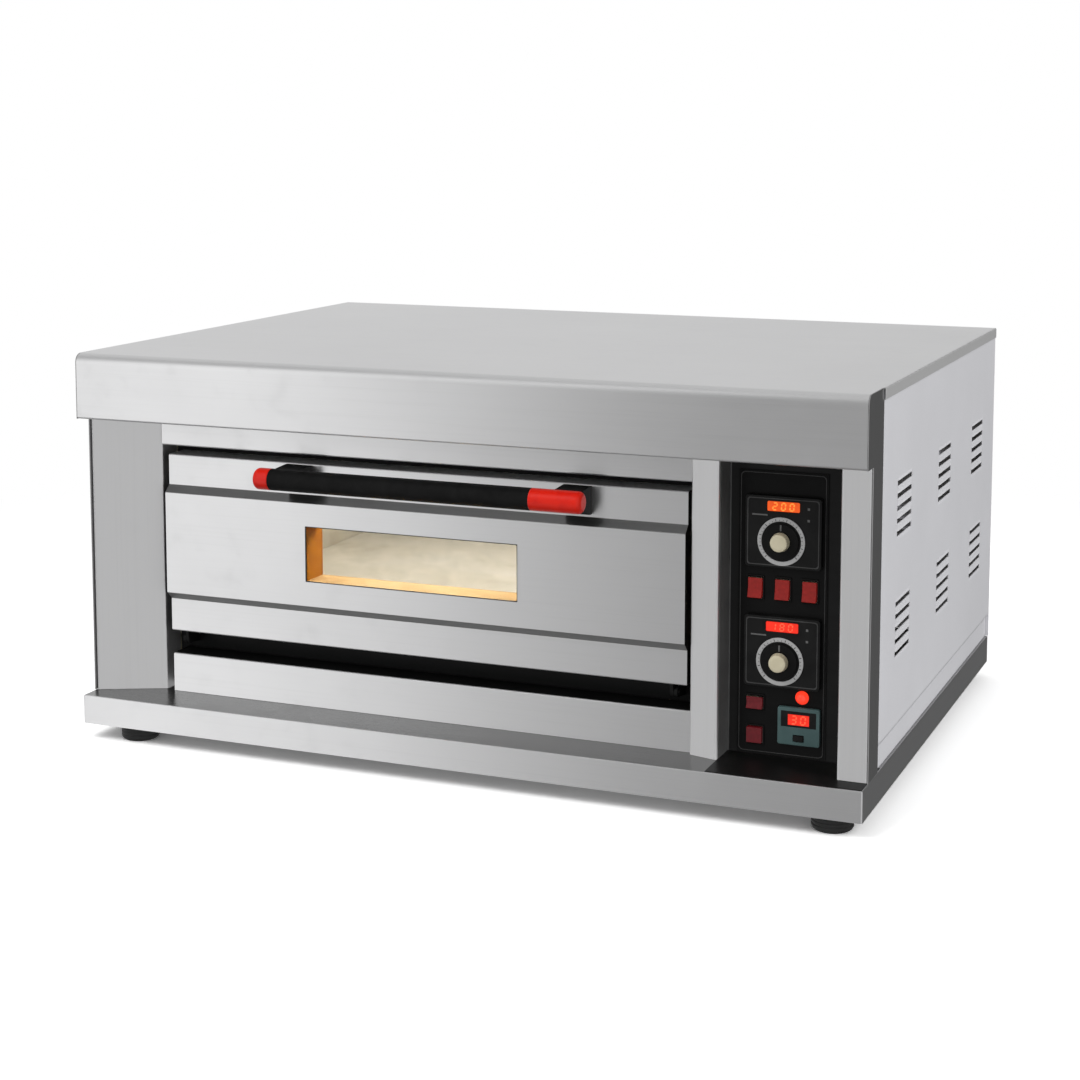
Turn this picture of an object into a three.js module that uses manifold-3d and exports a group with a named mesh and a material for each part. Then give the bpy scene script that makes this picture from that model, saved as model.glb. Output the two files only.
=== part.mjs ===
// Electric deck oven with one baking chamber and a drop-down door, built as
// separate sheets, plates, tubes and controls. Millimetres, +Z up. The origin
// is on the floor under the middle of the oven, and the door faces -Y.
//
// Inside the group called oven, y is the distance behind the front face of the
// canopy, because every sheet at the front is set back from that face.

import * as THREE from 'three';
import { mergeVertices } from 'three/addons/utils/BufferGeometryUtils.js';
import Module from 'manifold-3d';

const wasm = await Module();
wasm.setup();

// ---------------------------------------------------------------- sizes

const GAP = 0.3;                 // between parts that touch
const SHEET = 1.2;               // stainless and painted sheet
const PLATE = 2.0;               // chamber plate

const WIDTH = 1220;              // over the top cover's side flanges
const DEPTH = 890;               // canopy face to rear panel
const GLAND_REACH = 20;          // how far the cable gland stands out behind
const FOOT_HEIGHT = 24;
const BASE_HEIGHT = 44;

const HEIGHT = 595;

const HALF = WIDTH / 2;
const BASE_TOP = FOOT_HEIGHT + BASE_HEIGHT;
const CANOPY_BOTTOM = 496;       // underside of the canopy
const CANOPY_BEND = 14;          // bend from the top into the canopy face
const SOFFIT_BEND = 3;           // bend from that face into the underside
const FLANGE = 16;               // top cover's turned-down side edge
const PANEL_X = HALF - SHEET - GAP;        // outer face of the side panels
const END_X = PANEL_X - 0.6;               // outer face of the end plates
const END_DEPTH = 85;            // how far the end plates run back
const FRONT_LIMIT = CANOPY_BOTTOM - GAP;   // top of what stands under the canopy
const STAND = BASE_TOP + GAP;              // foot of what stands on the base

// Front sheets: distance behind the canopy face
const POST_FACE = 31;            // outer right pilaster
const DOOR_FACE = 75;            // door strips, trim and lower panel
const DOOR_RAISE = 12;           // the middle of the door stands this proud
const SURROUND_FACE = 120;       // black frame round the chamber mouth
const PLATE_FACE = 101;          // control plate

// Door
const DOOR_LEFT = -494;
const DOOR_RIGHT = 339;
const DOOR_BOTTOM = 163;
const DOOR_TOP = 438;
const RAISED_TOP = 380;
const RAISED_BOTTOM = 225;
const BEVEL = 11;                // height of the slopes above and below it
const DOOR_BACK = 118;
const WINDOW = { left: -254, right: 88, bottom: 262, top: 346 };
const GLASS = 4;
const HINGE = { y: 88, z: 150 }; // the door's hinge line
const DOOR_MIDDLE = (DOOR_LEFT + DOOR_RIGHT) / 2;

// Handle
const BAR = { y: 28, z: 420, radius: 16, left: -289, right: 124 };
const LEFT_CAP = 26;
const RIGHT_CAP = 78;
const BRACKET_WIDTH = 42;
const BRACKETS = { left: -268, right: 176 };

// Chamber
const MOUTH = { left: -486, right: 331, bottom: 188, top: 422 };
const CHAMBER = { left: -507, right: 352, back: 782, floor: 148, ceiling: 436 };
const WOOL = 48;                 // mineral wool slab round the chamber
const DECK_TOP = 188;
const DECK = 4;
const ELEMENT_RADIUS = 4;
const ELEMENT_PITCH = 76;
const ELEMENT_STARTS = [170, 478];
const UPPER_ELEMENT_Z = 416;
const LOWER_ELEMENT_Z = 166;
const TAIL_X = 398;              // where element tails and probes end
const PROBE_Y = 440;

// Control recess
const RECESS = { left: 389, right: 565 };
const CONTROL_PLATE = { left: 404, right: 530, bottom: 71, top: 470, sheet: 2 };
const CONTROLLER = { x: 469.3, width: 108, height: 100, reach: 8 };
const CONTROLLER_Z = { upper: 387, lower: 219 };
const DIAL_DROP = 12.5;          // dial axis below the controller's middle
const DIAL_SHIFT = -2.3;
const DISPLAY = { width: 46, height: 14, rise: 35.6, sink: 2 };
const SCALE = { inner: 27, outer: 34, rise: 1.4 };
const ROCKER_Z = 305.5;
const ROCKER_X = [429, 467.5, 506];
const ROCKER = { width: 20, height: 28 };
const SMALL_ROCKER = { x: 430, z: 143, width: 23, height: 17 };
const START_BUTTON = { x: 430, z: 97.5, width: 22, height: 22 };
const LAMP = { x: 497.5, z: 157, radius: 9.5 };
const TIMER = { x: 494, z: 116.4, width: 60, height: 53 };
const TIMER_BUTTON = { x: 494, z: 100, width: 14, height: 8 };
const SLACK = 1;                 // clearance round a moving control in its hole

// Louvres
const LOUVRE = { length: 90, slot: 7, pitch: 17.7, count: 5 };
const LOUVRE_Y = [172, 446, 702];
const LOUVRE_TOP = [451, 281];
const REAR_LOUVRE_X = [300, 440];

const FEET_X = [-532, 558];
const FEET_Y = [40, DEPTH - 40];

// ---------------------------------------------------------------- materials

function material(colour, roughness, metalness) {
  return new THREE.MeshStandardMaterial({ color: colour, roughness, metalness });
}

const stainless = () => material(0xc4c5c7, 0.32, 0.95);
const paintedPanel = () => material(0xc8c8cd, 0.6, 0.1);
const blackPaint = () => material(0x101112, 0.45, 0.1);
const blackPlastic = () => material(0x17181a, 0.4, 0.0);
const redPlastic = () => material(0xe01808, 0.3, 0.0);
const redLens = () => material(0xb01a16, 0.25, 0.0);
const chamberSteel = () => material(0x9c968c, 0.5, 0.8);
const elementMetal = () => material(0x5a5450, 0.55, 0.7);
const rubber = () => material(0x141414, 0.8, 0.0);
const paleGlass = () => material(0xe8efe9, 0.08, 0.0);
const woolGrey = () => material(0xb9b08c, 0.95, 0.0);
const tealPlastic = () => material(0x4d6b6c, 0.4, 0.0);
const greyPlastic = () => material(0x8e9092, 0.5, 0.0);

// ---------------------------------------------------------------- geometry helpers

// A box between two corners.
function box(x0, x1, y0, y1, z0, z1) {
  const shape = new THREE.BoxGeometry(x1 - x0, y1 - y0, z1 - z0);
  return shape.translate((x0 + x1) / 2, (y0 + y1) / 2, (z0 + z1) / 2);
}

function extruded(points, depth) {
  const outline = new THREE.Shape(points.map(([a, b]) => new THREE.Vector2(a, b)));
  return new THREE.ExtrudeGeometry(outline, { depth, bevelEnabled: false });
}

// An outline of (y, z) points drawn out along X.
function alongX(points, x0, x1) {
  const turn = new THREE.Matrix4().set(0, 0, 1, x0, 1, 0, 0, 0, 0, 1, 0, 0, 0, 0, 0, 1);
  return extruded(points, x1 - x0).applyMatrix4(turn);
}

// An outline of (x, y) points drawn upwards.
function upwards(points, z0, z1) {
  return extruded(points, z1 - z0).translate(0, 0, z0);
}

// A corner of a path as points on an arc, or the corner itself when it is sharp.
function roundedCorner(before, corner, after, radius, steps) {
  const a = new THREE.Vector2(...before).sub(new THREE.Vector2(...corner));
  const b = new THREE.Vector2(...after).sub(new THREE.Vector2(...corner));
  const half = Math.acos(a.dot(b) / (a.length() * b.length())) / 2;
  const back = radius / Math.tan(half);
  a.normalize();
  b.normalize();
  const middle = new THREE.Vector2().addVectors(a, b).normalize().multiplyScalar(radius / Math.sin(half));
  const start = a.clone().multiplyScalar(back).sub(middle);
  const end = b.clone().multiplyScalar(back).sub(middle);
  const from = Math.atan2(start.y, start.x);
  let sweep = Math.atan2(end.y, end.x) - from;
  if (sweep > Math.PI) sweep -= 2 * Math.PI;
  if (sweep < -Math.PI) sweep += 2 * Math.PI;
  const points = [];
  for (let i = 0; i <= steps; i += 1) {
    const angle = from + (sweep * i) / steps;
    const x = corner[0] + middle.x + radius * Math.cos(angle);
    const y = corner[1] + middle.y + radius * Math.sin(angle);
    points.push([x, y]);
  }
  return points;
}

// A folded sheet's outline. The path is the middle of the sheet, bent at each
// inner corner with the given radius, or with its own from a list.
function foldedSheet(path, bend = 2.4, steps = 2) {
  const middle = [path[0]];
  for (let i = 1; i < path.length - 1; i += 1) {
    const radius = Array.isArray(bend) ? bend[i - 1] : bend;
    middle.push(...roundedCorner(path[i - 1], path[i], path[i + 1], radius, steps));
  }
  middle.push(path[path.length - 1]);
  const sides = [[], []];
  middle.forEach(([x, y], i) => {
    const before = middle[Math.max(i - 1, 0)];
    const after = middle[Math.min(i + 1, middle.length - 1)];
    const along = new THREE.Vector2(after[0] - before[0], after[1] - before[1]).normalize();
    const out = SHEET / 2;
    sides[0].push([x - along.y * out, y + along.x * out]);
    sides[1].push([x + along.y * out, y - along.x * out]);
  });
  return [...sides[0], ...sides[1].reverse()];
}

// A solid of revolution about the line through the origin along -Y, from
// (radius, distance in front) points.
function turned(profile, sides) {
  const points = profile.map(([r, h]) => new THREE.Vector2(r, h));
  return new THREE.LatheGeometry(points, sides).rotateX(Math.PI);
}

function cylinderX(x0, x1, y, z, radius, sides) {
  const rod = new THREE.CylinderGeometry(radius, radius, x1 - x0, sides).rotateZ(Math.PI / 2);
  return rod.translate((x0 + x1) / 2, y, z);
}

// ---------------------------------------------------------------- cutting and joining

function solid(geometry) {
  const bare = geometry.clone();
  bare.deleteAttribute('normal');
  bare.deleteAttribute('uv');
  const merged = mergeVertices(bare, 1e-4);
  const mesh = new wasm.Mesh({
    numProp: 3,
    vertProperties: new Float32Array(merged.attributes.position.array),
    triVerts: new Uint32Array(merged.index.array),
  });
  return new wasm.Manifold(mesh);
}

function toGeometry(manifold) {
  const mesh = manifold.getMesh();
  const geometry = new THREE.BufferGeometry();
  geometry.setAttribute('position', new THREE.BufferAttribute(mesh.vertProperties, 3));
  geometry.setIndex(new THREE.BufferAttribute(mesh.triVerts, 1));
  return geometry;
}

function joined(first, ...others) {
  return toGeometry(others.reduce((sum, other) => sum.add(solid(other)), solid(first)));
}

function cutBy(first, ...others) {
  return toGeometry(others.reduce((sum, other) => sum.subtract(solid(other)), solid(first)));
}

// ---------------------------------------------------------------- the scene graph

const group = new THREE.Group();
const oven = new THREE.Group();
oven.position.y = -(DEPTH + GLAND_REACH) / 2;
group.add(oven);

function add(name, geometry, surface, position = [0, 0, 0], parent = oven) {
  const mesh = new THREE.Mesh(geometry, surface);
  mesh.name = name;
  mesh.position.set(...position);
  parent.add(mesh);
  return mesh;
}

// ---------------------------------------------------------------- casing

function topCover() {
  const inner = END_X - SHEET - GAP;
  const z = HEIGHT - SHEET / 2;
  const path = [
    [DEPTH, z],
    [SHEET / 2, z],
    [SHEET / 2, CANOPY_BOTTOM + SHEET / 2],
    [POST_FACE + 50, CANOPY_BOTTOM + SHEET / 2],
  ];
  const sheet = alongX(foldedSheet(path, [CANOPY_BEND, SOFFIT_BEND], 5), -inner, inner);
  const behind = END_DEPTH + GAP;
  const roof = box(-HALF, HALF, behind, DEPTH, HEIGHT - SHEET, HEIGHT);
  const flanges = [-1, 1].map((side) => {
    const x = side * (HALF - SHEET / 2);
    return box(x - SHEET / 2, x + SHEET / 2, behind, DEPTH, HEIGHT - FLANGE, HEIGHT);
  });
  return joined(sheet, roof, ...flanges);
}

function endPlate(side) {
  const corner = roundedCorner([0, 0], [0, HEIGHT], [END_DEPTH, HEIGHT], CANOPY_BEND, 5);
  const outline = [
    [POST_FACE, STAND],
    [POST_FACE, FRONT_LIMIT],
    [0, FRONT_LIMIT],
    ...corner,
    [END_DEPTH, HEIGHT],
    [END_DEPTH, STAND],
  ];
  const x = side > 0 ? END_X - SHEET : -END_X;
  return alongX(outline, x, x + SHEET);
}

// The base is a shallow pan of folded sheet, open underneath.
function baseTray() {
  const side = END_X - SHEET;
  const tray = box(-END_X, END_X, 0, DEPTH, FOOT_HEIGHT, BASE_TOP);
  return cutBy(tray, box(-side, side, SHEET, DEPTH - SHEET, 0, BASE_TOP - SHEET));
}

// The five slots of one louvre group, as cutters that run along the panel.
function louvreSlots(make, top) {
  const slots = [];
  for (let i = 0; i < LOUVRE.count; i += 1) {
    const z = top - i * LOUVRE.pitch;
    slots.push(make(z - LOUVRE.slot / 2, z + LOUVRE.slot / 2));
  }
  return slots;
}

function sidePanel(side) {
  const x0 = side > 0 ? PANEL_X - SHEET : -PANEL_X;
  const front = END_DEPTH + GAP;
  const top = HEIGHT - SHEET - GAP;
  const sheet = box(x0, x0 + SHEET, front, DEPTH - SHEET - GAP, STAND, top);
  const slots = LOUVRE_TOP.flatMap((z) => LOUVRE_Y.flatMap((y) => (
    louvreSlots((z0, z1) => box(x0 - 1, x0 + SHEET + 1, y, y + LOUVRE.length, z0, z1), z)
  )));
  return cutBy(sheet, ...slots);
}

const GLAND_PLACE = { x: 500, z: 130, radius: 10 };

function rearPanel() {
  const half = PANEL_X;
  const sheet = box(-half, half, DEPTH - SHEET, DEPTH, STAND, HEIGHT - SHEET - GAP);
  const slots = LOUVRE_TOP.flatMap((z) => REAR_LOUVRE_X.flatMap((x) => (
    louvreSlots((z0, z1) => box(x, x + LOUVRE.length, DEPTH - 9, DEPTH + 9, z0, z1), z)
  )));
  const hole = turned([[0, -9], [GLAND_PLACE.radius + GAP, -9], [GLAND_PLACE.radius + GAP, 9], [0, 9]], 16);
  hole.translate(GLAND_PLACE.x, DEPTH, GLAND_PLACE.z);
  return cutBy(sheet, hole, ...slots);
}

// Cable gland in the rear panel, with a nut inside and a dome nut outside.
function cableGland() {
  const bore = 5;
  const neck = GLAND_PLACE.radius;
  const nut = 14;
  const inside = SHEET + GAP;
  const body = [
    [bore, -GLAND_REACH],
    [bore + 4, -GLAND_REACH],
    [nut, -GLAND_REACH + 6],
    [nut, -GAP],
    [neck, -GAP],
    [neck, inside],
    [nut, inside],
    [nut, inside + 6],
    [bore, inside + 6],
    [bore, -GLAND_REACH],
  ];
  return turned(body, 12);
}

function casing() {
  add('top_cover', topCover(), stainless());
  add('base_tray', baseTray(), stainless());
  add('left_end_plate', endPlate(-1), stainless());
  add('right_end_plate', endPlate(1), stainless());
  add('left_side_panel', sidePanel(-1), paintedPanel());
  add('right_side_panel', sidePanel(1), paintedPanel());
  add('rear_panel', rearPanel(), paintedPanel());
  add('cable_gland', cableGland(), blackPlastic(), [GLAND_PLACE.x, DEPTH, GLAND_PLACE.z]);
}

// ---------------------------------------------------------------- front sheets

function pilaster(path, foot = STAND) {
  return upwards(foldedSheet(path), foot, FRONT_LIMIT);
}

function leftPilaster() {
  const outer = -(END_X - SHEET - GAP - SHEET / 2);
  const inner = -508;
  return pilaster([
    [outer, 60],
    [outer, POST_FACE + 3],
    [inner, 80],
    [inner, SURROUND_FACE - GAP],
  ]);
}

function innerRightPilaster() {
  const left = 347;
  const right = RECESS.left - SHEET / 2;
  return pilaster([
    [left, SURROUND_FACE - GAP],
    [left, 67],
    [right, 56],
    [right, SURROUND_FACE - GAP],
  ]);
}

// This one stands on the floor sheet of the control recess.
function outerRightPilaster() {
  const outer = END_X - SHEET - GAP - SHEET / 2;
  const left = RECESS.right + SHEET / 2;
  const path = [
    [left, SURROUND_FACE - GAP],
    [left, POST_FACE + SHEET / 2],
    [outer, POST_FACE + SHEET / 2],
    [outer, 60],
  ];
  return pilaster(path, STAND + SHEET + GAP);
}

const TRIM_BOTTOM = 451;
const LOWER_PANEL_TOP = 128;
const FRONT_LEFT = -506;         // front sheets run from here
const FRONT_RIGHT = 345;         // to here

function upperTrim() {
  const face = DOOR_FACE + SHEET / 2;
  const path = [
    [face, FRONT_LIMIT],
    [face, TRIM_BOTTOM + SHEET / 2],
    [SURROUND_FACE - GAP, TRIM_BOTTOM + SHEET / 2],
  ];
  return alongX(foldedSheet(path), FRONT_LEFT, FRONT_RIGHT);
}

function lowerFrontPanel() {
  const face = DOOR_FACE + SHEET / 2;
  const path = [
    [face, STAND],
    [face, LOWER_PANEL_TOP - SHEET / 2],
    [SURROUND_FACE - GAP, LOWER_PANEL_TOP - SHEET / 2],
  ];
  return alongX(foldedSheet(path), DOOR_LEFT + 2, FRONT_RIGHT);
}

function doorSurround() {
  const back = SURROUND_FACE + PLATE;
  const frame = box(FRONT_LEFT, FRONT_RIGHT, SURROUND_FACE, back, STAND, FRONT_LIMIT);
  return cutBy(frame, box(MOUTH.left, MOUTH.right, 0, 200, MOUTH.bottom, MOUTH.top));
}

function frontSheets() {
  add('left_pilaster', leftPilaster(), stainless());
  add('inner_right_pilaster', innerRightPilaster(), stainless());
  add('outer_right_pilaster', outerRightPilaster(), stainless());
  add('upper_trim', upperTrim(), stainless());
  add('lower_front_panel', lowerFrontPanel(), stainless());
  add('door_surround', doorSurround(), blackPaint());
}

// ---------------------------------------------------------------- chamber

// A path through chosen stations, each with its own direction, so that long
// straight runs take no extra rings.
class StationPath extends THREE.Curve {
  constructor(stations) {
    super();
    this.stations = stations;
  }

  at(u, key, target) {
    const place = u * (this.stations.length - 1);
    const i = Math.min(Math.floor(place), this.stations.length - 2);
    return target.lerpVectors(this.stations[i][key], this.stations[i + 1][key], place - i);
  }

  getPointAt(u, target = new THREE.Vector3()) {
    return this.at(u, 'point', target);
  }

  getTangentAt(u, target = new THREE.Vector3()) {
    return this.at(u, 'along', target).normalize();
  }
}

// A heating element that leaves the right wall, runs across the chamber four
// times and goes back through the same wall.
function elementStations(start, z) {
  const bend = ELEMENT_PITCH / 2;
  const left = CHAMBER.left + 30 + bend;
  const right = CHAMBER.right - 60 - bend;
  const steps = 6;
  const stations = [];
  const station = (x, y, dx, dy) => stations.push({
    point: new THREE.Vector3(x, y, z),
    along: new THREE.Vector3(dx, dy, 0),
  });
  station(TAIL_X, start, -1, 0);
  for (let turn = 0; turn < 3; turn += 1) {
    const side = turn % 2 === 0 ? -1 : 1;
    const x = side < 0 ? left : right;
    const y = start + ELEMENT_PITCH * (turn + 0.5);
    for (let i = 0; i <= steps; i += 1) {
      const angle = (Math.PI * i) / steps;
      station(x + side * bend * Math.sin(angle), y - bend * Math.cos(angle), side * Math.cos(angle), Math.sin(angle));
    }
  }
  station(TAIL_X, start + 3 * ELEMENT_PITCH, 1, 0);
  return stations;
}

function element(start, z) {
  const stations = elementStations(start, z);
  const ring = new THREE.Shape();
  ring.absarc(0, 0, ELEMENT_RADIUS, 0, 2 * Math.PI);
  return new THREE.ExtrudeGeometry(ring, {
    steps: stations.length - 1,
    curveSegments: 8,
    extrudePath: new StationPath(stations),
  });
}

// Cutters that clear the element tails and the probes through the right wall.
function tailHoles() {
  const radius = ELEMENT_RADIUS + 1;
  const holes = [];
  for (const z of [UPPER_ELEMENT_Z, LOWER_ELEMENT_Z]) {
    for (const start of ELEMENT_STARTS) {
      holes.push(cylinderX(CHAMBER.right - 9, TAIL_X + 9, start, z, radius, 8));
      holes.push(cylinderX(CHAMBER.right - 9, TAIL_X + 9, start + 3 * ELEMENT_PITCH, z, radius, 8));
    }
    holes.push(cylinderX(CHAMBER.right - 9, TAIL_X + 9, PROBE_Y, z, radius, 8));
  }
  return holes;
}

function insulation() {
  const margin = GAP + PLATE + GAP;
  const front = SURROUND_FACE + PLATE + GAP;
  const wool = box(
    CHAMBER.left - margin - WOOL,
    RECESS.left - 6,
    front,
    CHAMBER.back + margin + WOOL,
    CHAMBER.floor - PLATE - WOOL,
    CHAMBER.ceiling + PLATE + WOOL,
  );
  const chamber = box(
    CHAMBER.left - margin,
    CHAMBER.right + margin,
    0,
    CHAMBER.back + margin,
    CHAMBER.floor - PLATE - GAP,
    CHAMBER.ceiling + PLATE + GAP,
  );
  return cutBy(wool, chamber, ...tailHoles());
}

function chamber() {
  const { left, right, back, floor, ceiling } = CHAMBER;
  const front = SURROUND_FACE + PLATE + GAP;
  const low = floor - PLATE;
  const high = ceiling + PLATE;
  const leftWall = box(left - PLATE - GAP, left - GAP, front, back, low, high);
  const rightWall = box(right + GAP, right + PLATE + GAP, front, back, low, high);
  const backWall = box(left - PLATE, right + PLATE, back + GAP, back + PLATE + GAP, low, high);
  add('chamber_ceiling', box(left, right, front, back, ceiling, high), chamberSteel());
  add('chamber_floor', box(left, right, front, back, low, floor), chamberSteel());
  add('chamber_left_wall', leftWall, chamberSteel());
  add('chamber_right_wall', cutBy(rightWall, ...tailHoles()), chamberSteel());
  add('chamber_back_wall', backWall, chamberSteel());
  add('deck_plate', box(left + 1, right - 1, front + 1, back - 1, DECK_TOP - DECK, DECK_TOP), chamberSteel());
  add('insulation', insulation(), woolGrey());
  ELEMENT_STARTS.forEach((start, i) => {
    add(`upper_element_${i + 1}`, element(start, UPPER_ELEMENT_Z), elementMetal());
    add(`lower_element_${i + 1}`, element(start, LOWER_ELEMENT_Z), elementMetal());
  });
  const probe = (z) => cylinderX(CHAMBER.right - 90, TAIL_X, PROBE_Y, z, 3, 8);
  add('upper_thermocouple', probe(UPPER_ELEMENT_Z), stainless());
  add('lower_thermocouple', probe(LOWER_ELEMENT_Z), stainless());
  const dome = [[0, 0], [30, 0], [30, 6], [24, 8], [21, 15], [12, 20], [0, 22]];
  add('chamber_lamp', turned(dome, 24), paleGlass(), [DOOR_MIDDLE, back - GAP, 330]);
  add('contactor', box(440, 520, 300, 380, STAND, STAND + 86), greyPlastic());
}

// ---------------------------------------------------------------- door

function windowCutter(grow = 0) {
  const { left, right, bottom, top } = WINDOW;
  return box(left - grow, right + grow, 0, 200, bottom - grow, top + grow);
}

// The pressed front of the door: a pan with a raised middle and folded edges.
function doorOuterSkin() {
  const face = DOOR_FACE;
  const raised = DOOR_FACE - DOOR_RAISE;
  const rim = DOOR_BACK - PLATE - GAP;
  const outline = (t) => [
    [rim, DOOR_BOTTOM + t],
    [face + t, DOOR_BOTTOM + t],
    [face + t, RAISED_BOTTOM - BEVEL],
    [raised + t, RAISED_BOTTOM],
    [raised + t, RAISED_TOP],
    [face + t, RAISED_TOP + BEVEL],
    [face + t, DOOR_TOP - t],
    [rim, DOOR_TOP - t],
  ];
  const block = alongX(outline(0), DOOR_LEFT, DOOR_RIGHT);
  const hollow = alongX(outline(SHEET), DOOR_LEFT + SHEET, DOOR_RIGHT - SHEET);
  const behind = box(DOOR_LEFT + SHEET, DOOR_RIGHT - SHEET, rim - 1, rim + 9, DOOR_BOTTOM + SHEET, DOOR_TOP - SHEET);
  return cutBy(block, hollow, behind, windowCutter());
}

// The inner sheet of the door, folded forward into a collar round the window.
function doorLiner() {
  const face = DOOR_BACK - PLATE;
  const collarFront = DOOR_FACE - DOOR_RAISE + SHEET + GAP + GLASS + GAP;
  const sheet = box(DOOR_LEFT, DOOR_RIGHT, face, DOOR_BACK, DOOR_BOTTOM, DOOR_TOP);
  const { left, right, bottom, top } = WINDOW;
  const t = SHEET;
  const collar = box(left - t, right + t, collarFront, face + 1, bottom - t, top + t);
  return cutBy(joined(sheet, collar), windowCutter());
}

function outerGlass() {
  const y = DOOR_FACE - DOOR_RAISE + SHEET + GAP;
  const lap = 9;
  const { left, right, bottom, top } = WINDOW;
  return box(left - lap, right + lap, y, y + GLASS, bottom - lap, top + lap);
}

function innerGlass() {
  const y = DOOR_BACK - PLATE - GLASS;
  const { left, right, bottom, top } = WINDOW;
  return box(left + GAP, right - GAP, y, y + GLASS, bottom + GAP, top - GAP);
}

// A handle bracket: a foot on the door and an arm that cradles the bar.
function handleBracket() {
  const back = DOOR_FACE - GAP;
  const half = BRACKET_WIDTH / 2;
  const side = [
    [back, BAR.z - 24],
    [back - 8, BAR.z - 24],
    [BAR.y + 6, BAR.z - 14],
    [BAR.y + 6, BAR.z + 14],
    [back - 8, BAR.z + 16],
    [back, BAR.z + 16],
  ];
  const bar = cylinderX(-half - 9, half + 9, BAR.y, BAR.z, BAR.radius + GAP, 24);
  return cutBy(alongX(side, -half, half), bar);
}

// A handle cap: a short cylinder with a rounded free end, along +X from x = 0.
function handleCap(length) {
  const r = BAR.radius;
  const round = 9;
  const profile = [[0, 0], [r, 0], [r, length - round]];
  for (let i = 1; i < 4; i += 1) {
    const angle = (Math.PI / 2) * (i / 4);
    profile.push([r - round + round * Math.cos(angle), length - round + round * Math.sin(angle)]);
  }
  profile.push([r - round, length], [0, length]);
  const points = profile.map(([radius, h]) => new THREE.Vector2(radius, h));
  return new THREE.LatheGeometry(points, 20).rotateZ(-Math.PI / 2);
}

const PIN_RADIUS = 4;
const LUG = 8;                   // radius of the hinge lugs round the pin
const LUG_THICK = 5;


// A lug outline round the hinge line, with its tail going to the given points.
function lugOutline(from, to, tail) {
  const points = [...tail];
  const steps = 6;
  for (let i = 0; i <= steps; i += 1) {
    const angle = from + ((to - from) * i) / steps;
    points.push([HINGE.y + LUG * Math.cos(angle), HINGE.z + LUG * Math.sin(angle)]);
  }
  return points;
}

// Fixed half of a door hinge, from the surround forward to the pin.
function hingeBracket(x0) {
  const tail = [[SURROUND_FACE - GAP, HINGE.z - 12], [SURROUND_FACE - GAP, HINGE.z + 10]];
  const outline = lugOutline(Math.PI / 2, (3 * Math.PI) / 2, tail);
  const pin = cylinderX(x0 - 9, x0 + LUG_THICK + 9, HINGE.y, HINGE.z, PIN_RADIUS + GAP, 16);
  return cutBy(alongX(outline, x0, x0 + LUG_THICK), pin);
}

// Moving half, from the foot of the door down to the pin, which it carries.
function hingeArm(x0, pinFrom, pinTo) {
  const foot = DOOR_BOTTOM - GAP;
  const tail = [[HINGE.y + 18, foot], [HINGE.y - 10, foot]];
  const outline = lugOutline(Math.PI, 2 * Math.PI, tail);
  const pin = cylinderX(pinFrom, pinTo, HINGE.y, HINGE.z, PIN_RADIUS, 16);
  return joined(alongX(outline, x0, x0 + LUG_THICK), pin);
}

function hinges() {
  const inset = 16;
  const step = LUG_THICK + 0.5;
  const left = DOOR_LEFT + inset;
  const right = DOOR_RIGHT - inset - LUG_THICK;
  add('left_hinge_bracket', hingeBracket(left), blackPaint());
  add('right_hinge_bracket', hingeBracket(right), blackPaint());
  add('left_hinge_arm', hingeArm(left + step, left - 2, left + step + 1), stainless());
  add('right_hinge_arm', hingeArm(right - step, right - step + 1, right + LUG_THICK + 2), stainless());
}

function door() {
  add('door_outer_skin', doorOuterSkin(), stainless());
  add('door_liner', doorLiner(), chamberSteel());
  add('outer_glass', outerGlass(), paleGlass());
  add('inner_glass', innerGlass(), paleGlass());
  const bar = cylinderX(BAR.left, BAR.right, BAR.y, BAR.z, BAR.radius, 24);
  add('handle_bar', bar, blackPlastic());
  add('left_handle_bracket', handleBracket(), blackPlastic(), [BRACKETS.left, 0, 0]);
  add('right_handle_bracket', handleBracket(), blackPlastic(), [BRACKETS.right, 0, 0]);
  const leftCap = handleCap(LEFT_CAP).rotateY(Math.PI);
  add('left_handle_cap', leftCap, redPlastic(), [BAR.left - GAP, BAR.y, BAR.z]);
  add('right_handle_cap', handleCap(RIGHT_CAP), redPlastic(), [BAR.right + GAP, BAR.y, BAR.z]);
  hinges();
}

// ---------------------------------------------------------------- controls

// A hole through the control plate, or the same place grown by a margin.
function opening(item, margin) {
  const halfWidth = item.width / 2 + margin;
  const halfHeight = item.height / 2 + margin;
  return box(item.x - halfWidth, item.x + halfWidth, 0, 200, item.z - halfHeight, item.z + halfHeight);
}

const HOUSING = 8;               // a housing behind the plate is this much inside its bezel

function controlPlate() {
  const { left, right, bottom, top, sheet } = CONTROL_PLATE;
  const plate = box(left, right, PLATE_FACE, PLATE_FACE + sheet, bottom, top);
  const controllers = Object.values(CONTROLLER_Z).map((z) => opening({ ...CONTROLLER, z }, GAP - HOUSING));
  const rockers = ROCKER_X.map((x) => opening({ ...ROCKER, x, z: ROCKER_Z }, SLACK));
  const others = [SMALL_ROCKER, START_BUTTON].map((item) => opening(item, SLACK));
  const timer = opening(TIMER, GAP - HOUSING);
  const lampHole = turned([[0, -50], [5 + GAP, -50], [5 + GAP, 50], [0, 50]], 16);
  lampHole.translate(LAMP.x, PLATE_FACE, LAMP.z);
  return cutBy(plate, ...controllers, ...rockers, ...others, timer, lampHole);
}

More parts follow.
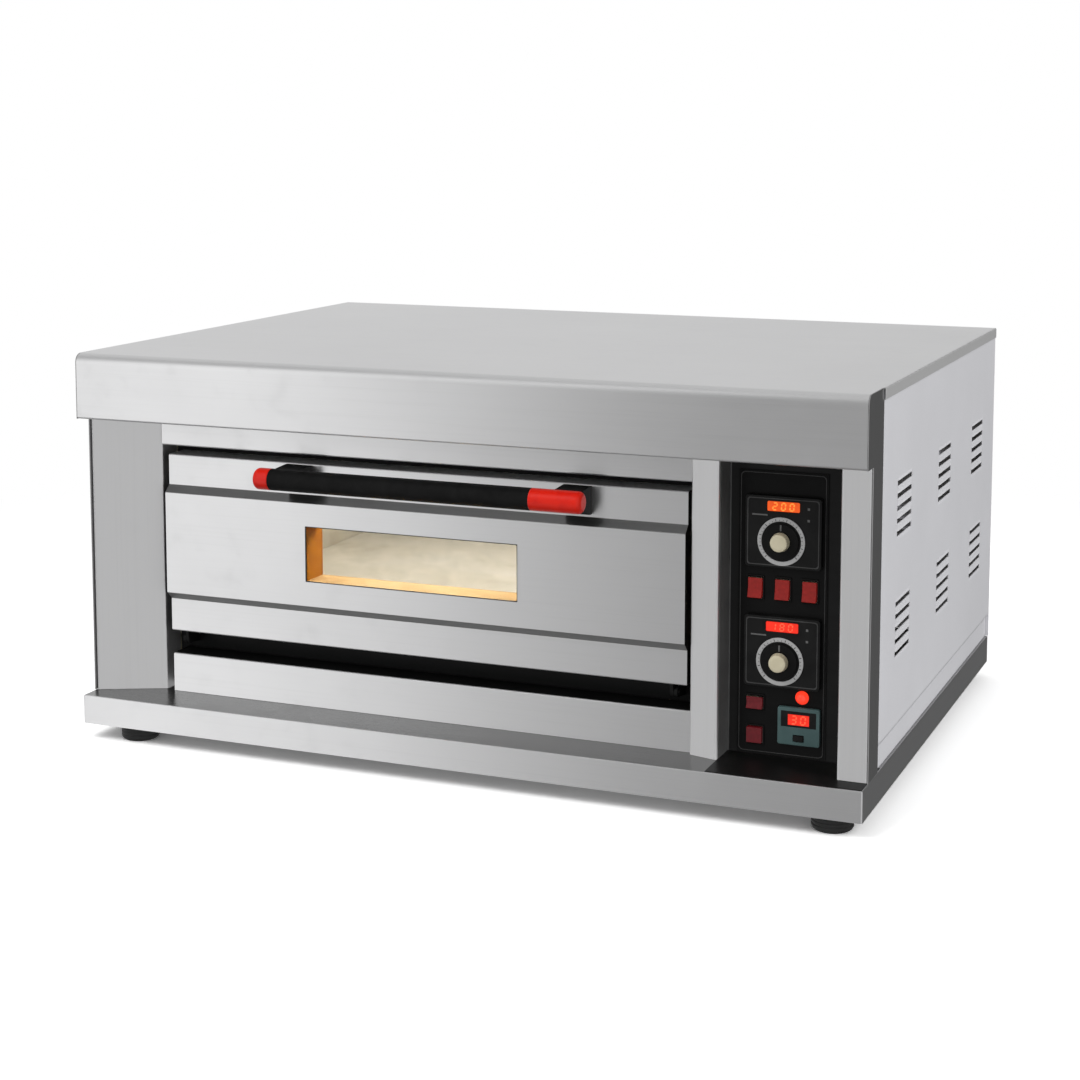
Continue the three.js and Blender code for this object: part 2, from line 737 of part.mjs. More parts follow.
// The lined hollow that the controls sit in. Its floor sheet runs forward over
// the base's ledge and under the outer pilaster.
function controlRecess() {
  const left = RECESS.left + GAP + SHEET / 2;
  const right = RECESS.right - GAP - SHEET / 2;
  const back = PLATE_FACE + CONTROL_PLATE.sheet + GAP + SHEET / 2;
  const liner = upwards(
    foldedSheet([[left, 60], [left, back], [right, back], [right, POST_FACE + 5]]),
    STAND,
    FRONT_LIMIT,
  );
  const floorEnd = END_X - SHEET - GAP;
  const floor = box(RECESS.left + GAP, floorEnd, 1, back + SHEET / 2, STAND, STAND + SHEET);
  const { left: x0, right: x1, bottom, top } = CONTROL_PLATE;
  const window = box(x0 + 5, x1 - 5, back - 9, back + 9, bottom + 8, top - 20);
  return cutBy(joined(liner, floor), window);
}

// A panel instrument: a bezel on the plate and a housing behind it. The front
// carries a sunk display, a raised scale ring and a hole for the dial shaft.
function controller() {
  const { width, height, reach } = CONTROLLER;
  const face = PLATE_FACE - GAP;
  const w = width / 2;
  const h = height / 2;
  const bezel = box(-w, w, face - reach, face, -h, h);
  const housing = box(HOUSING - w, w - HOUSING, face - 1, face + 50, HOUSING - h, h - HOUSING);
  const front = face - reach;
  const screen = box(
    -DISPLAY.width / 2,
    DISPLAY.width / 2,
    front - 9,
    front + DISPLAY.sink,
    DISPLAY.rise - DISPLAY.height / 2,
    DISPLAY.rise + DISPLAY.height / 2,
  );
  const { inner, outer, rise } = SCALE;
  const scale = turned([[inner, -1], [outer, -1], [outer, rise], [inner, rise], [inner, -1]], 32);
  scale.translate(DIAL_SHIFT, front, -DIAL_DROP);
  const shaft = turned([[0, -12], [4, -12], [4, 9], [0, 9]], 12);
  shaft.translate(DIAL_SHIFT, front, -DIAL_DROP);
  return cutBy(joined(bezel, housing, scale), screen, shaft);
}

// A dial: a thin skirt, a knob and a shaft, with a raised pointer on the skirt.
function dial() {
  const knob = [
    [0, -10],
    [3, -10],
    [3, GAP],
    [25, GAP],
    [25, 3],
    [14, 4],
    [12.5, 15],
    [10, 16],
    [0, 16],
  ];
  const pointer = box(-1.2, 1.2, -5, -2, 15, 24);
  return joined(turned(knob, 32), pointer);
}

// A rocker about its own pivot, already tipped to its off position.
function rocker(width, height) {
  const w = width / 2;
  const h = height / 2;
  const off = THREE.MathUtils.degToRad(8);
  const side = [[-6, -h], [-4, 0], [-6, h], [1, h - 1], [5, 0], [1, 1 - h]];
  return alongX(side, -w, w).rotateX(-off);
}

function pushButton(width, height, reach) {
  return box(-width / 2, width / 2, -reach, 8, -height / 2, height / 2);
}

function timerUnit() {
  const face = PLATE_FACE - GAP;
  const w = TIMER.width / 2;
  const h = TIMER.height / 2;
  const bezel = box(-w, w, face - 6, face, -h, h);
  const housing = box(HOUSING - w, w - HOUSING, face - 1, face + 30, HOUSING - h, h - HOUSING);
  const x = TIMER_BUTTON.x - TIMER.x;
  const z = TIMER_BUTTON.z - TIMER.z;
  const reach = TIMER_BUTTON.width / 2 + SLACK;
  const rise = TIMER_BUTTON.height / 2 + SLACK;
  const well = box(x - reach, x + reach, face - 9, face + 4, z - rise, z + rise);
  const screen = box(-15, 15, face - 9, face - 4, 0, 17);
  return cutBy(joined(bezel, housing), well, screen);
}

function controls() {
  add('control_recess', controlRecess(), blackPaint());
  add('control_plate', controlPlate(), blackPaint());
  const front = PLATE_FACE - GAP - CONTROLLER.reach;
  for (const [name, z] of Object.entries(CONTROLLER_Z)) {
    add(`${name}_controller`, controller(), blackPlastic(), [CONTROLLER.x, 0, z]);
    add(`${name}_dial`, dial(), blackPlastic(), [CONTROLLER.x + DIAL_SHIFT, front, z - DIAL_DROP]);
  }
  ['power_rocker', 'upper_heat_rocker', 'lower_heat_rocker'].forEach((name, i) => {
    add(name, rocker(ROCKER.width, ROCKER.height), redLens(), [ROCKER_X[i], PLATE_FACE, ROCKER_Z]);
  });
  const lampSwitch = rocker(SMALL_ROCKER.width, SMALL_ROCKER.height);
  add('lamp_switch', lampSwitch, redLens(), [SMALL_ROCKER.x, PLATE_FACE, SMALL_ROCKER.z]);
  const start = pushButton(START_BUTTON.width, START_BUTTON.height, 6);
  add('start_button', start, redLens(), [START_BUTTON.x, PLATE_FACE, START_BUTTON.z]);
  const lens = [[0, -12], [5, -12], [5, GAP], [LAMP.radius, GAP], [LAMP.radius, 4], [6, 8], [0, 9]];
  add('indicator_lamp', turned(lens, 20), redLens(), [LAMP.x, PLATE_FACE, LAMP.z]);
  add('timer_unit', timerUnit(), tealPlastic(), [TIMER.x, 0, TIMER.z]);
  const halfKey = TIMER_BUTTON.width / 2;
  const key = box(-halfKey, halfKey, -8, -3, -TIMER_BUTTON.height / 2, TIMER_BUTTON.height / 2);
  add('timer_button', key, blackPlastic(), [TIMER_BUTTON.x, PLATE_FACE, TIMER_BUTTON.z]);
}

// ---------------------------------------------------------------- feet

// A rubber foot with a post that reaches up to the base's top sheet.
function foot() {
  const shoulder = FOOT_HEIGHT - GAP;
  const post = 14;
  const top = BASE_TOP - SHEET - GAP;
  const profile = [[0, 0], [25, 0], [27.5, 2], [29, 8], [29, shoulder], [post, shoulder], [post, top], [0, top]];
  const points = profile.map(([r, z]) => new THREE.Vector2(r, z));
  return new THREE.LatheGeometry(points, 24).rotateX(Math.PI / 2);
}

function feet() {
  const names = ['front', 'rear'];
  const sides = ['left', 'right'];
  names.forEach((row, j) => sides.forEach((side, i) => {
    add(`${row}_${side}_foot`, foot(), rubber(), [FEET_X[i], FEET_Y[j], 0]);
  }));
}

casing();
frontSheets();
chamber();
door();
controls();
feet();

export default group;
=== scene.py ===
"""Looks for an electric deck oven with one chamber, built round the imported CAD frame.

Everything is in metres in the frame's own axes: +X right, -Y the front, +Z up. Profiles
of turned parts and everything placed on a front face are given in millimetres.
"""
import math

import bmesh
import bpy
from mathutils import Matrix, Vector


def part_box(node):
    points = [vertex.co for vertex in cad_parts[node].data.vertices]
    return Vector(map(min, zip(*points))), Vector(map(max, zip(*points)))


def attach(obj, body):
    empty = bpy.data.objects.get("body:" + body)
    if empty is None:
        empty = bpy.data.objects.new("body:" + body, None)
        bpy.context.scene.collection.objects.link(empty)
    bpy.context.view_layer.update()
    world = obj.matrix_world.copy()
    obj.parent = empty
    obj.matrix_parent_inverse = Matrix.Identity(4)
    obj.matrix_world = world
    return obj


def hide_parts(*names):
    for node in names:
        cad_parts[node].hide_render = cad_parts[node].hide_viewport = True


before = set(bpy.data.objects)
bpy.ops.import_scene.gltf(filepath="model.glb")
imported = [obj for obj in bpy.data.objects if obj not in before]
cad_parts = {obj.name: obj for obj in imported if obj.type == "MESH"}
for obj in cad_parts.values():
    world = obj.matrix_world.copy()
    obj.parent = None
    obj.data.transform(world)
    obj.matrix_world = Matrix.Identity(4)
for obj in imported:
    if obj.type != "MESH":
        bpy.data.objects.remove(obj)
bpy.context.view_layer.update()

MM = 0.001
SHEET = 1.2 * MM                    # thickness of the folded sheets
HALF = SHEET / 2                    # from a sheet's face to its middle
GAP = 0.3 * MM                      # clearance that the CAD keeps between parts
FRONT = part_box("top_cover")[0].y    # the canopy's front face
OUT = (0, -1, 0)                    # out of the front
BACK = (0, 1, 0)
RIGHT = (1, 0, 0)
QUARTER = math.pi / 2


def behind(distance):
    """The y of something that many millimetres behind the canopy's face."""
    return FRONT + distance * MM


def space(node):
    """A CAD node's low and high corners, its middle, and half its size."""
    low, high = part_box(node)
    return low, high, (low + high) / 2, (high - low) / 2


# ---- node trees


def triple(value):
    """Three numbers, or one number three times: a grey, or the same stretch along each axis."""
    return value if hasattr(value, "__len__") else (value, value, value)


class Nodes:
    """A node tree being put together, for a material or for the world."""

    def __init__(self, owner):
        owner.use_nodes = True
        self.nodes = owner.node_tree.nodes
        self.links = owner.node_tree.links

    def plug(self, socket, value):
        """Links a node's output to an input socket, or sets the socket to a plain value."""
        if isinstance(value, bpy.types.NodeSocket):
            self.links.new(value, socket)
        elif hasattr(value, "__len__"):
            short = len(value) < len(socket.default_value)
            socket.default_value = (*value, 1) if short else value
        else:
            socket.default_value = value

    def add(self, kind, output, inputs, **settings):
        """Adds a node with its settings and inputs, and gives one of its outputs."""
        node = self.nodes.new(f"ShaderNode{kind}")
        for key, value in settings.items():
            setattr(node, key, value)
        for name, value in inputs.items():
            self.plug(node.inputs[name], value)
        return node.outputs[output]

    def noise(self, stretch, detail=2.0, roughness=0.5, distortion=0.0):
        """Noise over object coordinates in metres, multiplied by stretch along each axis."""
        own = self.add("TexCoord", "Object", {})
        place = self.add("Mapping", "Vector", {"Vector": own, "Scale": triple(stretch)})
        inputs = {"Vector": place, "Scale": 1.0, "Detail": detail, "Roughness": roughness}
        return self.add("TexNoise", "Fac", {**inputs, "Distortion": distortion})

    def span(self, value, low, high, to_low, to_high, **settings):
        """A value stretched from one range to another."""
        inputs = {"Value": value, "From Min": low, "From Max": high, "To Min": to_low, "To Max": to_high}
        return self.add("MapRange", "Result", inputs, **settings)

    def ramp(self, value, stops, interpolation="LINEAR"):
        """A colour for each value, through (place, colour or grey) stops in rising order."""
        colour = self.add("ValToRGB", "Color", {"Fac": value})
        band = colour.node.color_ramp
        band.interpolation = interpolation
        for element, stop in ((band.elements[1], stops[-1]), (band.elements[0], stops[0])):
            element.position = stop[0]
            element.color = (*triple(stop[1]), 1)
        for place, tint in stops[1:-1]:
            band.elements.new(place).color = (*triple(tint), 1)
        return colour

    def arithmetic(self, operation, *values):
        return self.add("Math", "Value", dict(enumerate(values)), operation=operation)


class Surface(Nodes):
    """A material being put together round one Principled shader."""

    def __init__(self, name, **settings):
        self.material = bpy.data.materials.new(name)
        super().__init__(self.material)
        for key, value in settings.items():
            self.set(key.replace("_", " "), value)

    def set(self, socket, value):
        self.plug(self.nodes["Principled BSDF"].inputs[socket], value)

    def bump(self, height, depth, strength, onto=None):
        """Bumps the surface by a depth in millimetres, over an earlier bump if there is one."""
        inputs = {"Height": height, "Distance": depth * MM, "Strength": strength}
        if onto is not None:
            inputs["Normal"] = onto
        normal = self.add("Bump", "Normal", inputs)
        self.set("Normal", normal)
        return normal

    def finish(self, tint, stops, wear, rough, texture, depth, strength):
        """Colours by one noise, varies the roughness by a second and bumps by a third."""
        self.set("Base Color", self.ramp(tint, stops))
        self.set("Roughness", self.span(wear, *rough))
        self.bump(texture, depth, strength)
        return self.material


# ---- materials


def brushed_steel(name, low, high, roughness=0.34, along="X", anisotropic=0.75, metallic=1.0):
    """Brushed stainless sheet: fine lines along the grain, faint clouding and handling marks."""
    surface = Surface(name, Metallic=metallic, Anisotropic=anisotropic)
    grain = 1 if along == "X" else -1
    lines = surface.noise((9, 1500, 1500)[::grain], 3, 0.6)
    bands = surface.noise((3, 260, 260)[::grain], 2, 0.5)
    clouds = surface.noise(3.2, 3, 0.55)
    marks = surface.noise(26, 4, 0.65, 0.4)
    tone = surface.arithmetic("MULTIPLY_ADD", lines, 0.35, 0.5)
    tone = surface.arithmetic("MULTIPLY_ADD", bands, 0.35, tone)
    surface.set("Base Color", surface.ramp(tone, [(0.3, low), (0.85, high)]))
    rough = surface.arithmetic("ADD", surface.span(clouds, 0.3, 0.7, -0.02, 0.02), roughness)
    rough = surface.arithmetic("ADD", surface.span(marks, 0.55, 0.8, 0.0, 0.04), rough)
    rough = surface.arithmetic("ADD", surface.span(lines, 0.2, 0.8, -0.02, 0.02), rough)
    surface.set("Roughness", rough)
    surface.bump(lines, 0.012, 0.3, surface.bump(clouds, 0.6, 0.2))
    across = surface.add("Tangent", "Tangent", {}, direction_type="UV_MAP", uv_map="grain")
    surface.set("Tangent", across)
    return surface.material


def powder_coat(name, low, high):
    """Sprayed and baked paint: orange peel, fine speckle and a trace of dust."""
    surface = Surface(name, Coat_Weight=0.08, Coat_Roughness=0.35)
    peel = surface.noise(420)
    speckle = surface.noise(1900, 1)
    clouds = surface.noise(2.4, 4, 0.55)
    tone = surface.arithmetic("MULTIPLY_ADD", speckle, 0.25, clouds)
    return surface.finish(tone, [(0.4, low), (0.9, high)], peel, (0.3, 0.7, 0.42, 0.58), peel, 0.12, 0.45)


def black_enamel(name, low, high, roughness, specular):
    """Black stoved enamel, a little worn and dusty."""
    surface = Surface(name, Specular_IOR_Level=specular)
    peel = surface.noise(300)
    dust = surface.noise((14, 14, 40), 5, 0.6)
    rough = (0.3, 0.8, roughness - 0.06, roughness + 0.14)
    return surface.finish(dust, [(0.35, low), (0.75, high)], dust, rough, peel, 0.1, 0.4)


def moulded(name, low, high, roughness=0.42, grit=1400, coat=0.0, depth=0.06, specular=0.4):
    """Moulded plastic with a spark-eroded texture and slight colour flow."""
    surface = Surface(name, Coat_Weight=coat, Coat_Roughness=0.12, Specular_IOR_Level=specular)
    texture = surface.noise(grit, 2, 0.6)
    flow = surface.noise(35, 3, 0.5, 0.6)
    rough = (0.25, 0.75, roughness - 0.07, roughness + 0.07)
    return surface.finish(flow, [(0.3, low), (0.75, high)], texture, rough, texture, depth, 0.5)


def glowing(name, colour, strength, body_colour, roughness=0.25, coat=0.5):
    """A translucent coloured lens lit from behind, its glow a little uneven."""
    surface = Surface(name, Coat_Weight=coat, Coat_Roughness=0.12, Specular_IOR_Level=0.35)
    ribs = surface.noise(240, 1)
    glow = surface.noise(90)
    dim = tuple(c * 0.75 for c in colour)
    bright_body = tuple(c * 1.4 for c in body_colour)
    surface.set("Emission Color", surface.ramp(glow, [(0.3, dim), (0.7, colour)]))
    surface.set("Emission Strength", strength)
    rough = (0.3, 0.7, roughness - 0.05, roughness + 0.05)
    return surface.finish(ribs, [(0.3, body_colour), (0.7, bright_body)], ribs, rough, ribs, 0.05, 0.3)


def baked_steel(name, clean, straw, brown, roughness, metallic, specular=0.5):
    """Steel tinted by years of heat: straw and brown bands over fine brushing."""
    surface = Surface(name, Metallic=metallic, Specular_IOR_Level=specular)
    tint = surface.noise((5, 5, 7), 5, 0.6, 0.8)
    lines = surface.noise((12, 12, 1300), 3, 0.6)
    stops = [(0.3, clean), (0.52, straw), (0.78, brown)]
    return surface.finish(tint, stops, tint, (0.3, 0.8, roughness - 0.08, roughness + 0.14), lines, 0.05, 0.4)


def oxidised(name):
    """The dull scale on a heating element's sheath."""
    surface = Surface(name, Metallic=0.5)
    scale = surface.noise(180, 4, 0.65)
    stops = [(0.3, (0.05, 0.042, 0.038)), (0.75, (0.17, 0.14, 0.12))]
    return surface.finish(scale, stops, scale, (0.3, 0.8, 0.5, 0.75), scale, 0.15, 0.6)


def mineral_wool(name):
    surface = Surface(name, Sheen_Weight=0.4, Sheen_Roughness=0.6)
    fibres = surface.noise((60, 300, 300), 6, 0.7, 1.5)
    stops = [(0.25, (0.28, 0.24, 0.14)), (0.8, (0.62, 0.57, 0.4))]
    return surface.finish(fibres, stops, fibres, (0.2, 0.8, 0.85, 1.0), fibres, 2.5, 0.8)


def rubber_compound(name):
    surface = Surface(name)
    texture = surface.noise(900, 3, 0.6)
    scuffs = surface.noise(60, 5, 0.7)
    stops = [(0.35, 0.006), (0.8, 0.03)]
    return surface.finish(scuffs, stops, scuffs, (0.3, 0.8, 0.6, 0.85), texture, 0.1, 0.5)


def clear_glass(name, tint, alpha, roughness=0.03):
    """Thin pane: mostly clear, with its own gloss and a trace of grease."""
    surface = Surface(name, Base_Color=tint, Specular_IOR_Level=0.12)
    film = surface.noise((30, 30, 60), 4, 0.6, 0.5)
    surface.set("Alpha", surface.span(film, 0.35, 0.8, alpha, alpha + 0.05))
    surface.set("Roughness", surface.span(film, 0.3, 0.8, roughness, roughness + 0.07))
    return surface.material


STEEL = brushed_steel("brushed_stainless", 0.63, (0.73, 0.73, 0.735))
# painted shade: a darker copy of the steel for the base's top sheet, where the ledge lies in shade and
# mirrors the dark front
SHADED_LEDGE_STEEL = brushed_steel("shaded_ledge_stainless", 0.26, 0.33, 0.28)
# painted shade: a darker copy of the steel for the door's two bevels, which face up into the shade and dark
# reflection under the handle
SHADED_BEVEL_STEEL = brushed_steel("shaded_bevel_stainless", 0.26, 0.34, 0.3)
UPRIGHT_STEEL = brushed_steel("upright_stainless", 0.60, (0.69, 0.69, 0.695), 0.36, "Z")
PLATED_STEEL = brushed_steel("satin_stainless", 0.42, 0.52, 0.3)
# painted light: a duller, partly matt copy of the steel for the top cover's side flanges, so they read
# lighter than their dark reflection would make them
LIGHTENED_FLANGE_STEEL = brushed_steel("lightened_flange_stainless", 0.46, 0.54, 0.5, "X", 0.2, 0.35)
SCREW_STEEL = brushed_steel("screw_steel", 0.42, 0.6, 0.3, "X", 0.3)
PANEL_PAINT = powder_coat("lavender_grey_paint", (0.66, 0.66, 0.685), (0.74, 0.74, 0.77))
# black enamel, kept near-black so the gaps round the door read dark (painted shade); it also stands as
# painted shade on steel that lies in those gaps
ENAMEL_AND_PAINTED_SHADE = black_enamel("black_enamel", 0.002, 0.005, 0.5, 0.2)
RECESS_ENAMEL = black_enamel("recess_enamel", 0.004, 0.009, 0.4, 0.2)
# painted light: a lighter copy of the recess enamel for the recess's left wall, where it catches light
LIT_WALL_ENAMEL = black_enamel("lit_wall_enamel", 0.07, 0.11, 0.4, 0.4)
PLATE_ENAMEL = black_enamel("plate_enamel", 0.0025, 0.006, 0.42, 0.12)
BLACK_PLASTIC = moulded("black_phenolic", 0.003, 0.007, 0.55, specular=0.15)
CONTROL_PLASTIC = moulded("control_black_plastic", 0.006, 0.012, 0.42, 1800, specular=0.15)
TRIM_PLASTIC = moulded("dark_grey_trim", 0.045, 0.07, 0.4, 1800, specular=0.3)
RED_PLASTIC = moulded(
    "glossy_red_plastic", (0.64, 0.008, 0.002), (0.78, 0.016, 0.003), 0.32, 700, 0.2, 0.03, 0.2
)
SCALE_GREY = moulded("scale_grey_print", 0.42, 0.50, 0.5, 900)
MARK_GREY = moulded("faint_grey_print", 0.10, 0.15, 0.5, 900)
IVORY = moulded("ivory_plastic", (0.60, 0.54, 0.38), (0.68, 0.62, 0.45), 0.4, 900, 0.1)
TEAL = moulded("teal_plastic", (0.055, 0.105, 0.105), (0.075, 0.135, 0.135), 0.42, 1500)
GREY_PLASTIC = moulded("grey_housing_plastic", 0.24, 0.32, 0.5)
GASKET = moulded("dark_silicone_gasket", 0.035, 0.06, 0.5, 500)
RED_LENS = glowing("red_rocker_lens", (1.0, 0.03, 0.02), 0.09, (0.17, 0.006, 0.004), 0.34, 0.2)
DIM_LENS = glowing("dim_red_lens", (1.0, 0.03, 0.05), 0.03, (0.10, 0.004, 0.008), 0.34, 0.2)
LAMP_RED = glowing("lit_red_lamp", (1.0, 0.05, 0.02), 1.1, (0.5, 0.01, 0.006))
LIT_ORANGE = glowing("lit_orange_digits", (1.0, 0.22, 0.03), 1.6, (0.6, 0.1, 0.01))
LIT_RED = glowing("lit_red_digits", (1.0, 0.07, 0.03), 1.6, (0.6, 0.03, 0.01))
ORANGE_WINDOW = glowing("orange_display_window", (1.0, 0.12, 0.01), 0.75, (0.4, 0.04, 0.004), 0.12)
RED_WINDOW = glowing("red_display_window", (1.0, 0.03, 0.012), 0.75, (0.4, 0.012, 0.004), 0.12)
LAMP_GLASS = glowing("lamp_glass", (1.0, 0.72, 0.38), 5.0, (0.8, 0.75, 0.65))
CHAMBER_STEEL = baked_steel(
    "chamber_steel", (0.56, 0.55, 0.51), (0.53, 0.52, 0.47), (0.48, 0.45, 0.39), 0.5, 0.3
)
# painted light and shade: a lighter, warmer copy of the chamber steel, toned for how the side walls are lit
SIDE_WALL_LIGHT_AND_SHADE_STEEL = baked_steel(
    "side_wall_painted_light_and_shade_steel", (0.66, 0.62, 0.53), (0.63, 0.58, 0.47), (0.56, 0.49, 0.38), 0.5, 0.3
)
# painted light: the window collar's sides in deep orange, standing in for the chamber's warm light on them,
# over straw and brown heat-tint bands
WARM_LIT_REVEAL_STEEL = baked_steel(
    "heat_tint_and_painted_glow_reveal", (0.46, 0.19, 0.012), (0.39, 0.14, 0.007), (0.26, 0.07, 0.003), 0.6, 0.05, 0.05
)
# painted light: the collar's sill in pale yellow, standing in for the bright warm light that falls on it
BRIGHT_LIT_SILL_STEEL = baked_steel(
    "painted_glow_sill", (0.62, 0.44, 0.20), (0.58, 0.38, 0.15), (0.42, 0.23, 0.06), 0.5, 0.2
)
DECK_STEEL = baked_steel(
    "seasoned_deck", (0.74, 0.70, 0.61), (0.70, 0.65, 0.54), (0.60, 0.53, 0.41), 0.55, 0.2
)
ELEMENT = oxidised("oxidised_sheath")
WOOL = mineral_wool("mineral_wool")
GLASS = clear_glass("oven_glass", (0.10, 0.12, 0.11), 0.05)
RUBBER = rubber_compound("black_rubber")

# ---- mesh helpers


def linked(name, data):
    """A new object in the scene that holds the given mesh, light or camera."""
    made = bpy.data.objects.new(name, data)
    bpy.context.scene.collection.objects.link(made)
    return made


def mesh_from(name, bm):
    """Turns a bmesh into a mesh and frees it."""
    mesh = bpy.data.meshes.new(name)
    bm.to_mesh(mesh)
    bm.free()
    return mesh


def run_modifiers(bm, *steps):
    """Runs Blender modifiers over a bmesh and gives the result back as a bmesh."""
    mesh = mesh_from("work", bm)
    work = linked("work", mesh)
    for kind, settings in steps:
        modifier = work.modifiers.new(kind, kind)
        for key, value in settings.items():
            setattr(modifier, key, value)
    evaluated = work.evaluated_get(bpy.context.evaluated_depsgraph_get())
    result = bmesh.new()
    result.from_mesh(evaluated.to_mesh())
    evaluated.to_mesh_clear()
    bpy.data.objects.remove(work)
    bpy.data.meshes.remove(mesh)
    return result


def eased(width, segments=2, angle=40):
    """A bevel step for run_modifiers that rounds edges sharper than the angle."""
    settings = {
        "width": width,
        "segments": segments,
        "limit_method": "ANGLE",
        "angle_limit": math.radians(angle),
        "use_clamp_overlap": True,
        "miter_outer": "MITER_ARC",
    }
    return ("BEVEL", settings)


def thickened(offset=0.0):
    """A solidify step: offset 0 keeps the surface in the middle of the sheet."""
    return ("SOLIDIFY", {"thickness": SHEET, "offset": offset, "use_even_offset": True})


def as_sheet(bm):
    """A surface made into sheet, with its cut edges just eased."""
    return run_modifiers(bm, thickened(), eased(0.25 * MM, 2, 60))


def grain_map(mesh, along):
    """A UV map in metres whose U runs across the brush marks."""
    layer = mesh.uv_layers.new(name="grain")
    planes = ((1, 2), (0, 2), (0, 1)) if along == "Z" else ((2, 1), (2, 0), (1, 0))
    for polygon in mesh.polygons:
        u, v = planes[max(range(3), key=lambda i: abs(polygon.normal[i]))]
        for loop in polygon.loop_indices:
            point = mesh.vertices[mesh.loops[loop].vertex_index].co
            layer.data[loop].uv = (point[u], point[v])


def piece(name, bm, surfaces, slot, body="root", nodes=(), along="X", smooth=38):
    """Turns a finished bmesh into a named piece of the oven."""
    bmesh.ops.remove_doubles(bm, verts=bm.verts, dist=1e-6)
    bmesh.ops.dissolve_degenerate(bm, edges=bm.edges, dist=1e-7)
    bmesh.ops.recalc_face_normals(bm, faces=bm.faces)
    mesh = mesh_from(name, bm)
    for surface in surfaces if isinstance(surfaces, list) else [surfaces]:
        mesh.materials.append(surface)
    mesh.shade_smooth()
    mesh.set_sharp_from_angle(angle=math.radians(smooth))
    grain_map(mesh, along)
    made = linked(name, mesh)
    weighted = made.modifiers.new("weighted_normals", "WEIGHTED_NORMAL")
    weighted.keep_sharp = True
    weighted.weight = 100
    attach(made, body)
    if nodes:
        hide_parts(*nodes)
    return made


def stand_in(node, ending, bm, surfaces, slot, body="root", **more):
    """The piece that replaces one CAD node, named after it."""
    return piece(f"{node}_{ending}", bm, surfaces, slot, body, [node], **more)


def merged(*parts):
    """Several closed bmeshes as one, each still its own shell."""
    whole = bmesh.new()
    for part in parts:
        mesh = mesh_from("part", part)
        whole.from_mesh(mesh)
        bpy.data.meshes.remove(mesh)
    return whole


def paint(bm, slot_of):
    """Gives each face the material slot that slot_of(face, its middle) names."""
    for face in bm.faces:
        face.material_index = int(slot_of(face, face.calc_center_median()))
    return bm


def rounded_path(points, radius, steps=8):
    """A path whose inner corners are arcs of the given radius."""
    points = [Vector(p) for p in points]
    path = [points[0]]
    for before, corner, after in zip(points, points[1:], points[2:]):
        a = before - corner
        b = after - corner
        half = a.angle(b) / 2
        reach = min(radius / math.tan(half), a.length * 0.49, b.length * 0.49)
        a.normalize()
        b.normalize()
        centre = corner + (a + b).normalized() * (reach / math.cos(half))
        sweep = math.pi - 2 * half
        for i in range(steps + 1):
            t = i / steps
            spoke = (corner + a * reach - centre) * (math.sin((1 - t) * sweep) / math.sin(sweep))
            spoke += (corner + b * reach - centre) * (math.sin(t * sweep) / math.sin(sweep))
            path.append(centre + spoke)
    path.append(points[-1])
    return path


def soft_profile(points, radius, steps=4):
    """Profile points with the corners rounded."""
    return [(p.x, p.y) for p in rounded_path(points, radius, steps)]


def rod(length, radius, corner, steps=4):
    """The profile of a plain rod with rounded ends."""
    return soft_profile([(0, 0), (0, radius), (length, radius), (length, 0)], corner, steps)


def rounded_outline(half_width, half_height, radius, steps=5):
    """A rounded rectangle as (across, up) points about its middle."""
    points = []
    for k, (sx, sy) in enumerate(((1, 1), (-1, 1), (-1, -1), (1, -1))):
        for i in range(steps + 1):
            angle = QUARTER * (k + i / steps)
            x = sx * (half_width - radius) + radius * math.cos(angle)
            y = sy * (half_height - radius) + radius * math.sin(angle)
            points.append((x, y))
    return points


def grid(rows, columns, place, keep=lambda i, j: True):
    """A surface of quads: place(row, column) gives each corner."""
    bm = bmesh.new()
    corners = [[bm.verts.new(place(r, c)) for c in columns] for r in rows]
    for i, (row, above) in enumerate(zip(corners, corners[1:])):
        for j in range(len(columns) - 1):
            if keep(i, j):
                bm.faces.new((row[j], row[j + 1], above[j + 1], above[j]))
    loose = [v for v in bm.verts if not v.link_faces]
    bmesh.ops.delete(bm, geom=loose, context="VERTS")
    return bm


def skinned(rings, closed=False, caps=(0, -1)):
    """A solid through rings of points, capped at its ends or closed back on its first ring.

    A ring of one point is a tip that all the faces beside it share.
    """
    bm = bmesh.new()
    sides = max(len(ring) for ring in rings)
    loops = []
    for ring in rings:
        corners = [bm.verts.new(p) for p in ring]
        loops.append(corners if len(corners) > 1 else corners * sides)
    for a, b in zip(loops, loops[1:] + loops[:1] if closed else loops[1:]):
        for i in range(sides):
            j = (i + 1) % sides
            corners = list(dict.fromkeys((a[i], a[j], b[j], b[i])))
            if len(corners) > 2:
                bm.faces.new(corners)
    for end in () if closed else caps:
        if loops[end][0] is not loops[end][1]:
            bm.faces.new(loops[end])
    return bm


def folded(points, start, end, upright):
    """A sheet folded along a line of points and drawn out upwards, or else along X."""
    path = rounded_path(points, SHEET_BEND)
    if upright:
        return as_sheet(grid(path, [start, end], lambda p, t: (p.x, p.y, t)))
    return as_sheet(grid(path, [start, end], lambda p, t: (t, p.x, p.y)))


def rounded_box(low, high, ease, segments=3):
    """A box with every edge rounded."""
    bm = bmesh.new()
    bmesh.ops.create_cube(bm, size=1)
    low = Vector(low)
    size = Vector(high) - low
    for v in bm.verts:
        v.co = low + Vector((v.co[i] + 0.5) * size[i] for i in range(3))
    return run_modifiers(bm, eased(ease, segments, 30))


